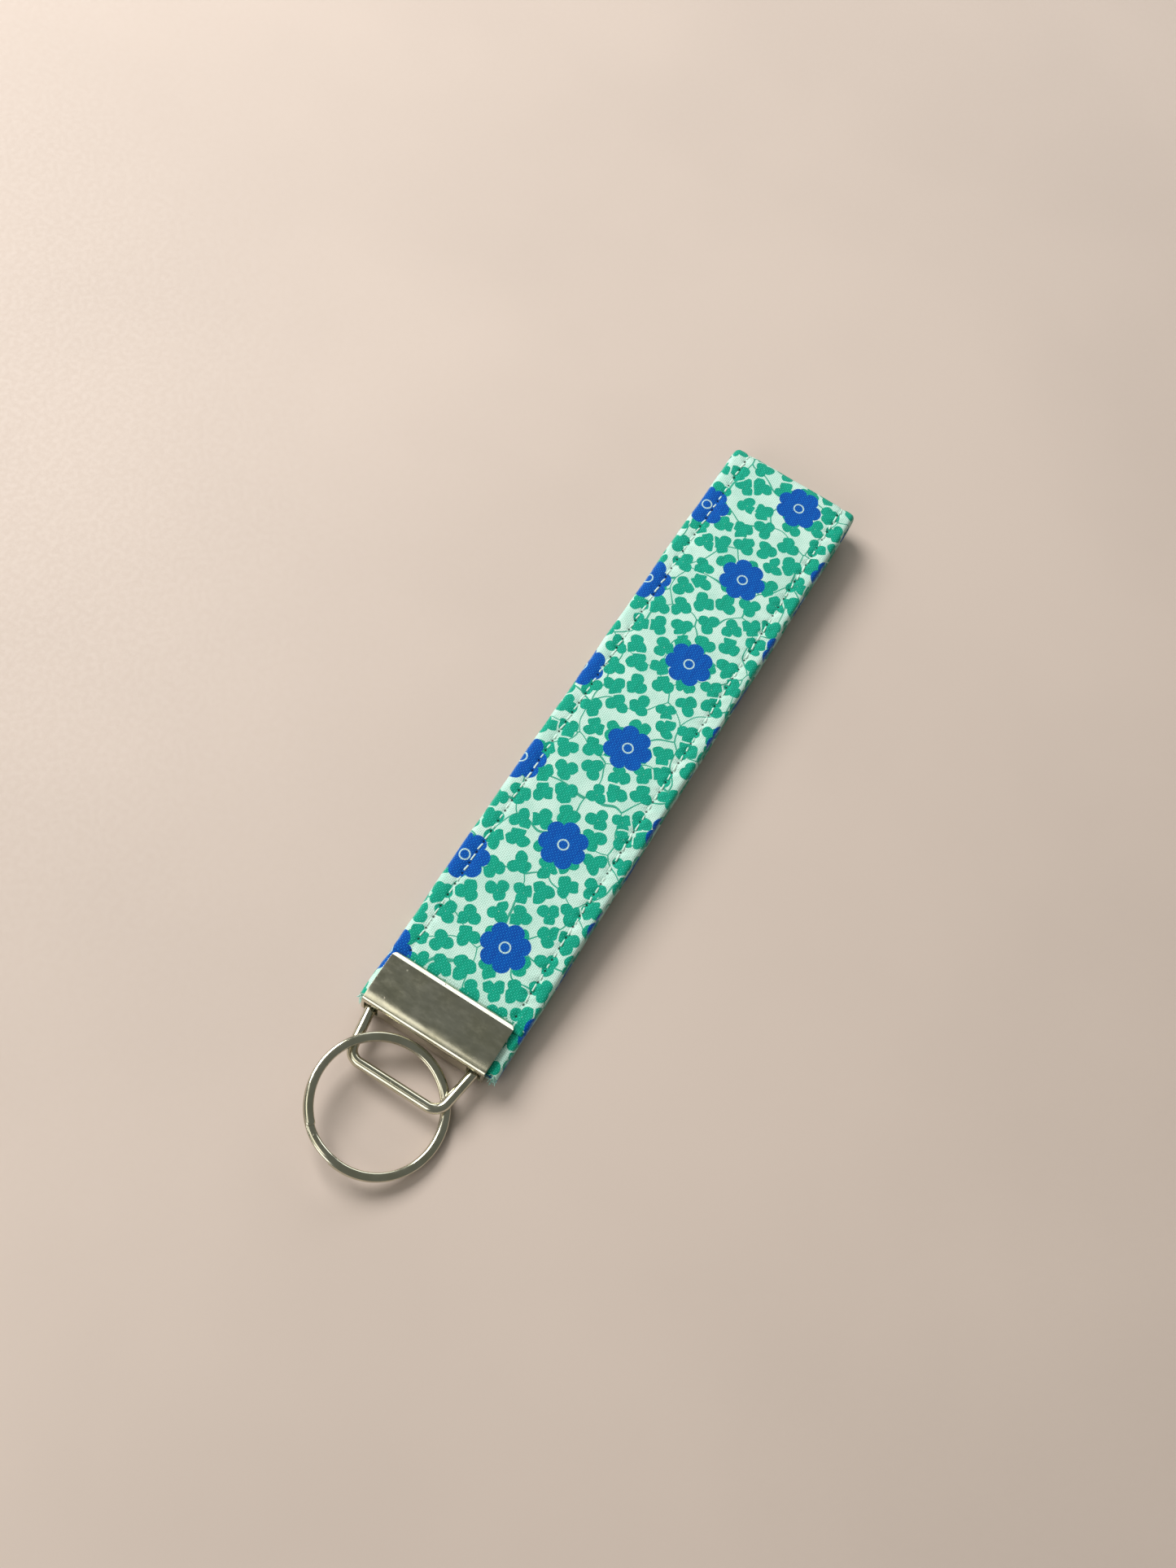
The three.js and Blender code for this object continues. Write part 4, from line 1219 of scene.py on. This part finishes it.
class KEYCHAIN_OT_bail(bpy.types.Operator):
    """Adds the bent wire bail"""
    bl_idname = "keychain.bail"
    bl_label = "Bail"

    def execute(self, context):
        r = context.scene.keychain_metal.wire / MM / 2
        z = (CLAMP_HIGH.z / MM) / 2
        bar, pivot, tip = -14.4, -3.4, 9.3     # X of the far bar and of the toes, half the bar's span
        slope = 1.4 / 9.0                      # how fast each leg leans in
        toe = tip + 1.4 + slope * (pivot - CLAMP_LOW.x / MM)
        toe_length, toe_bend, bar_bend = 3.7, 1.5, 2.6
        half = [(pivot, toe - toe_length), (pivot, toe), (bar, tip)]
        corners = [Vector((x, y, z)) for x, y in half + [(x, -y) for x, y in reversed(half)]]
        radii = [0, toe_bend, bar_bend, bar_bend, toe_bend, 0]
        path = [corners[0].copy()]
        for i in range(1, 5):
            a = (corners[i - 1] - corners[i]).normalized()
            b = (corners[i + 1] - corners[i]).normalized()
            half = a.angle(b) / 2
            centre = corners[i] + (a + b).normalized() * (radii[i] / math.sin(half))
            reach = radii[i] / math.tan(half)
            start, end = corners[i] + a * reach - centre, corners[i] + b * reach - centre
            axis, sweep_angle = start.cross(end).normalized(), start.angle(end)
            for k in range(15):
                path.append(Matrix.Rotation(sweep_angle * k / 14, 3, axis) @ start + centre)
        path.append(corners[-1].copy())
        dense = [path[0]]
        for p in path[1:]:
            steps = max(1, int((p - dense[-1]).length / 1.2))
            a = dense[-1]
            dense += [a.lerp(p, k / steps) for k in range(1, steps + 1)]
        room = 0.6                             # left at each end for its dome
        dense[0] += (dense[1] - dense[0]).normalized() * room
        dense[-1] += (dense[-2] - dense[-1]).normalized() * room
        circle = [(r * math.cos(k * math.pi / 14), r * math.sin(k * math.pi / 14)) for k in range(28)]
        verts, faces = sweep(dense, circle, (0, 0, 1))
        wire = mesh_piece("bail_wire", verts, faces, finish_of(context, "nickel_wire"))
        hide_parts("bail")
        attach(wire, "bail")
        return {"FINISHED"}


class KEYCHAIN_OT_split_ring(bpy.types.Operator):
    """Adds the two-turn split ring"""
    bl_idname = "keychain.split_ring"
    bl_label = "Split ring"

    def execute(self, context):
        sizes = context.scene.keychain_metal
        radial, axial = sizes.ring_radial / MM, sizes.ring_axial / MM
        mean, rise = 11.975, 1.04              # middle radius, height from one turn to the next
        step, at = 32.0, 156.0                 # degrees taken by the step, and its direction
        tilt, low = math.radians(12.1638), math.radians(-84.0)
        axis = Vector((0, 0, 1)).cross(Vector((math.cos(low), math.sin(low), 0)))
        turn = Matrix.Rotation(tilt, 3, axis)
        centre = Vector((-18.95, 0.06, 3.66483))
        first, last = step / 2 + 1, 720 - step / 2 - 1
        path = []
        for k in range(381):
            angle = first + (last - first) * k / 380
            along = min(max((angle - 360 + step / 2) / step, 0), 1)
            height = rise * (along * along * (3 - 2 * along) - 0.5)
            a = math.radians(angle + at)
            path.append(turn @ Vector((mean * math.cos(a), mean * math.sin(a), height)) + centre)
        up = turn @ Vector((0, 0, 1))
        section, flatness = [], 0.94
        for k in range(28):
            t = 2 * math.pi * (k + 0.5) / 28
            c, d = math.cos(t), math.sin(t)
            section.append(tuple(
                size / 2 * math.copysign(abs(x) ** flatness, x) for size, x in ((radial, c), (axial, d))
            ))
        rings, verts = [], []
        for i, p in enumerate(path):
            along = (path[min(i + 1, len(path) - 1)] - path[max(i - 1, 0)]).normalized()
            side = along.cross(up).normalized()
            rings.append((p, side, 1.0))
        chamfer, narrowed = 0.12, 0.82
        rings.insert(0, (path[0] + (path[0] - path[1]).normalized() * chamfer, rings[0][1], narrowed))
        rings.append((path[-1] + (path[-1] - path[-2]).normalized() * chamfer, rings[-1][1], narrowed))
        for p, side, scale in rings:
            verts += [tuple(p + side * s * scale + up * u * scale) for s, u in section]
        faces = tube_faces(len(rings), len(section))
        ring = mesh_piece("key_ring", verts, faces, finish_of(context, "nickel_wire"))
        sharpen(ring, 55)
        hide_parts("split_ring")
        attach(ring, "ring")
        return {"FINISHED"}


class KEYCHAIN_PT_panel(bpy.types.Panel):
    """Sizes, colours and pieces of the keychain"""
    bl_idname = "KEYCHAIN_PT_panel"
    bl_label = "Wristlet Keychain"
    bl_space_type = "VIEW_3D"
    bl_region_type = "UI"
    bl_category = "Keychain"

    def draw(self, context):
        layout = self.layout
        scene = context.scene
        for label, group in (
            ("Strap", scene.keychain_strap), ("Metal", scene.keychain_metal), ("Look", scene.keychain_look),
        ):
            column = layout.column(align=True)
            column.label(text=label)
            for key in group.__annotations__:
                column.prop(group, key)
        for operator in OPERATORS:
            layout.operator(operator.bl_idname)


OPERATORS = (
    KEYCHAIN_OT_stage, KEYCHAIN_OT_clamp, KEYCHAIN_OT_bail, KEYCHAIN_OT_split_ring,
    KEYCHAIN_OT_sleeve, KEYCHAIN_OT_core, KEYCHAIN_OT_topstitching, KEYCHAIN_OT_loose_threads,
)
GROUPS = (StrapSizes, MetalSizes, Look)


def register():
    for item in GROUPS + OPERATORS + (KEYCHAIN_PT_panel,):
        bpy.utils.register_class(item)
    bpy.types.Scene.keychain_strap = PointerProperty(type=StrapSizes)
    bpy.types.Scene.keychain_metal = PointerProperty(type=MetalSizes)
    bpy.types.Scene.keychain_look = PointerProperty(type=Look)


def unregister():
    del bpy.types.Scene.keychain_look
    del bpy.types.Scene.keychain_metal
    del bpy.types.Scene.keychain_strap
    for item in reversed(GROUPS + OPERATORS + (KEYCHAIN_PT_panel,)):
        bpy.utils.unregister_class(item)


def main():
    register()
    bpy.ops.keychain.stage()
    bpy.ops.keychain.clamp()
    bpy.ops.keychain.bail()
    bpy.ops.keychain.split_ring()
    bpy.ops.keychain.sleeve()
    bpy.ops.keychain.core()
    bpy.ops.keychain.topstitching()
    bpy.ops.keychain.loose_threads()


if __name__ == "__main__":
    main()
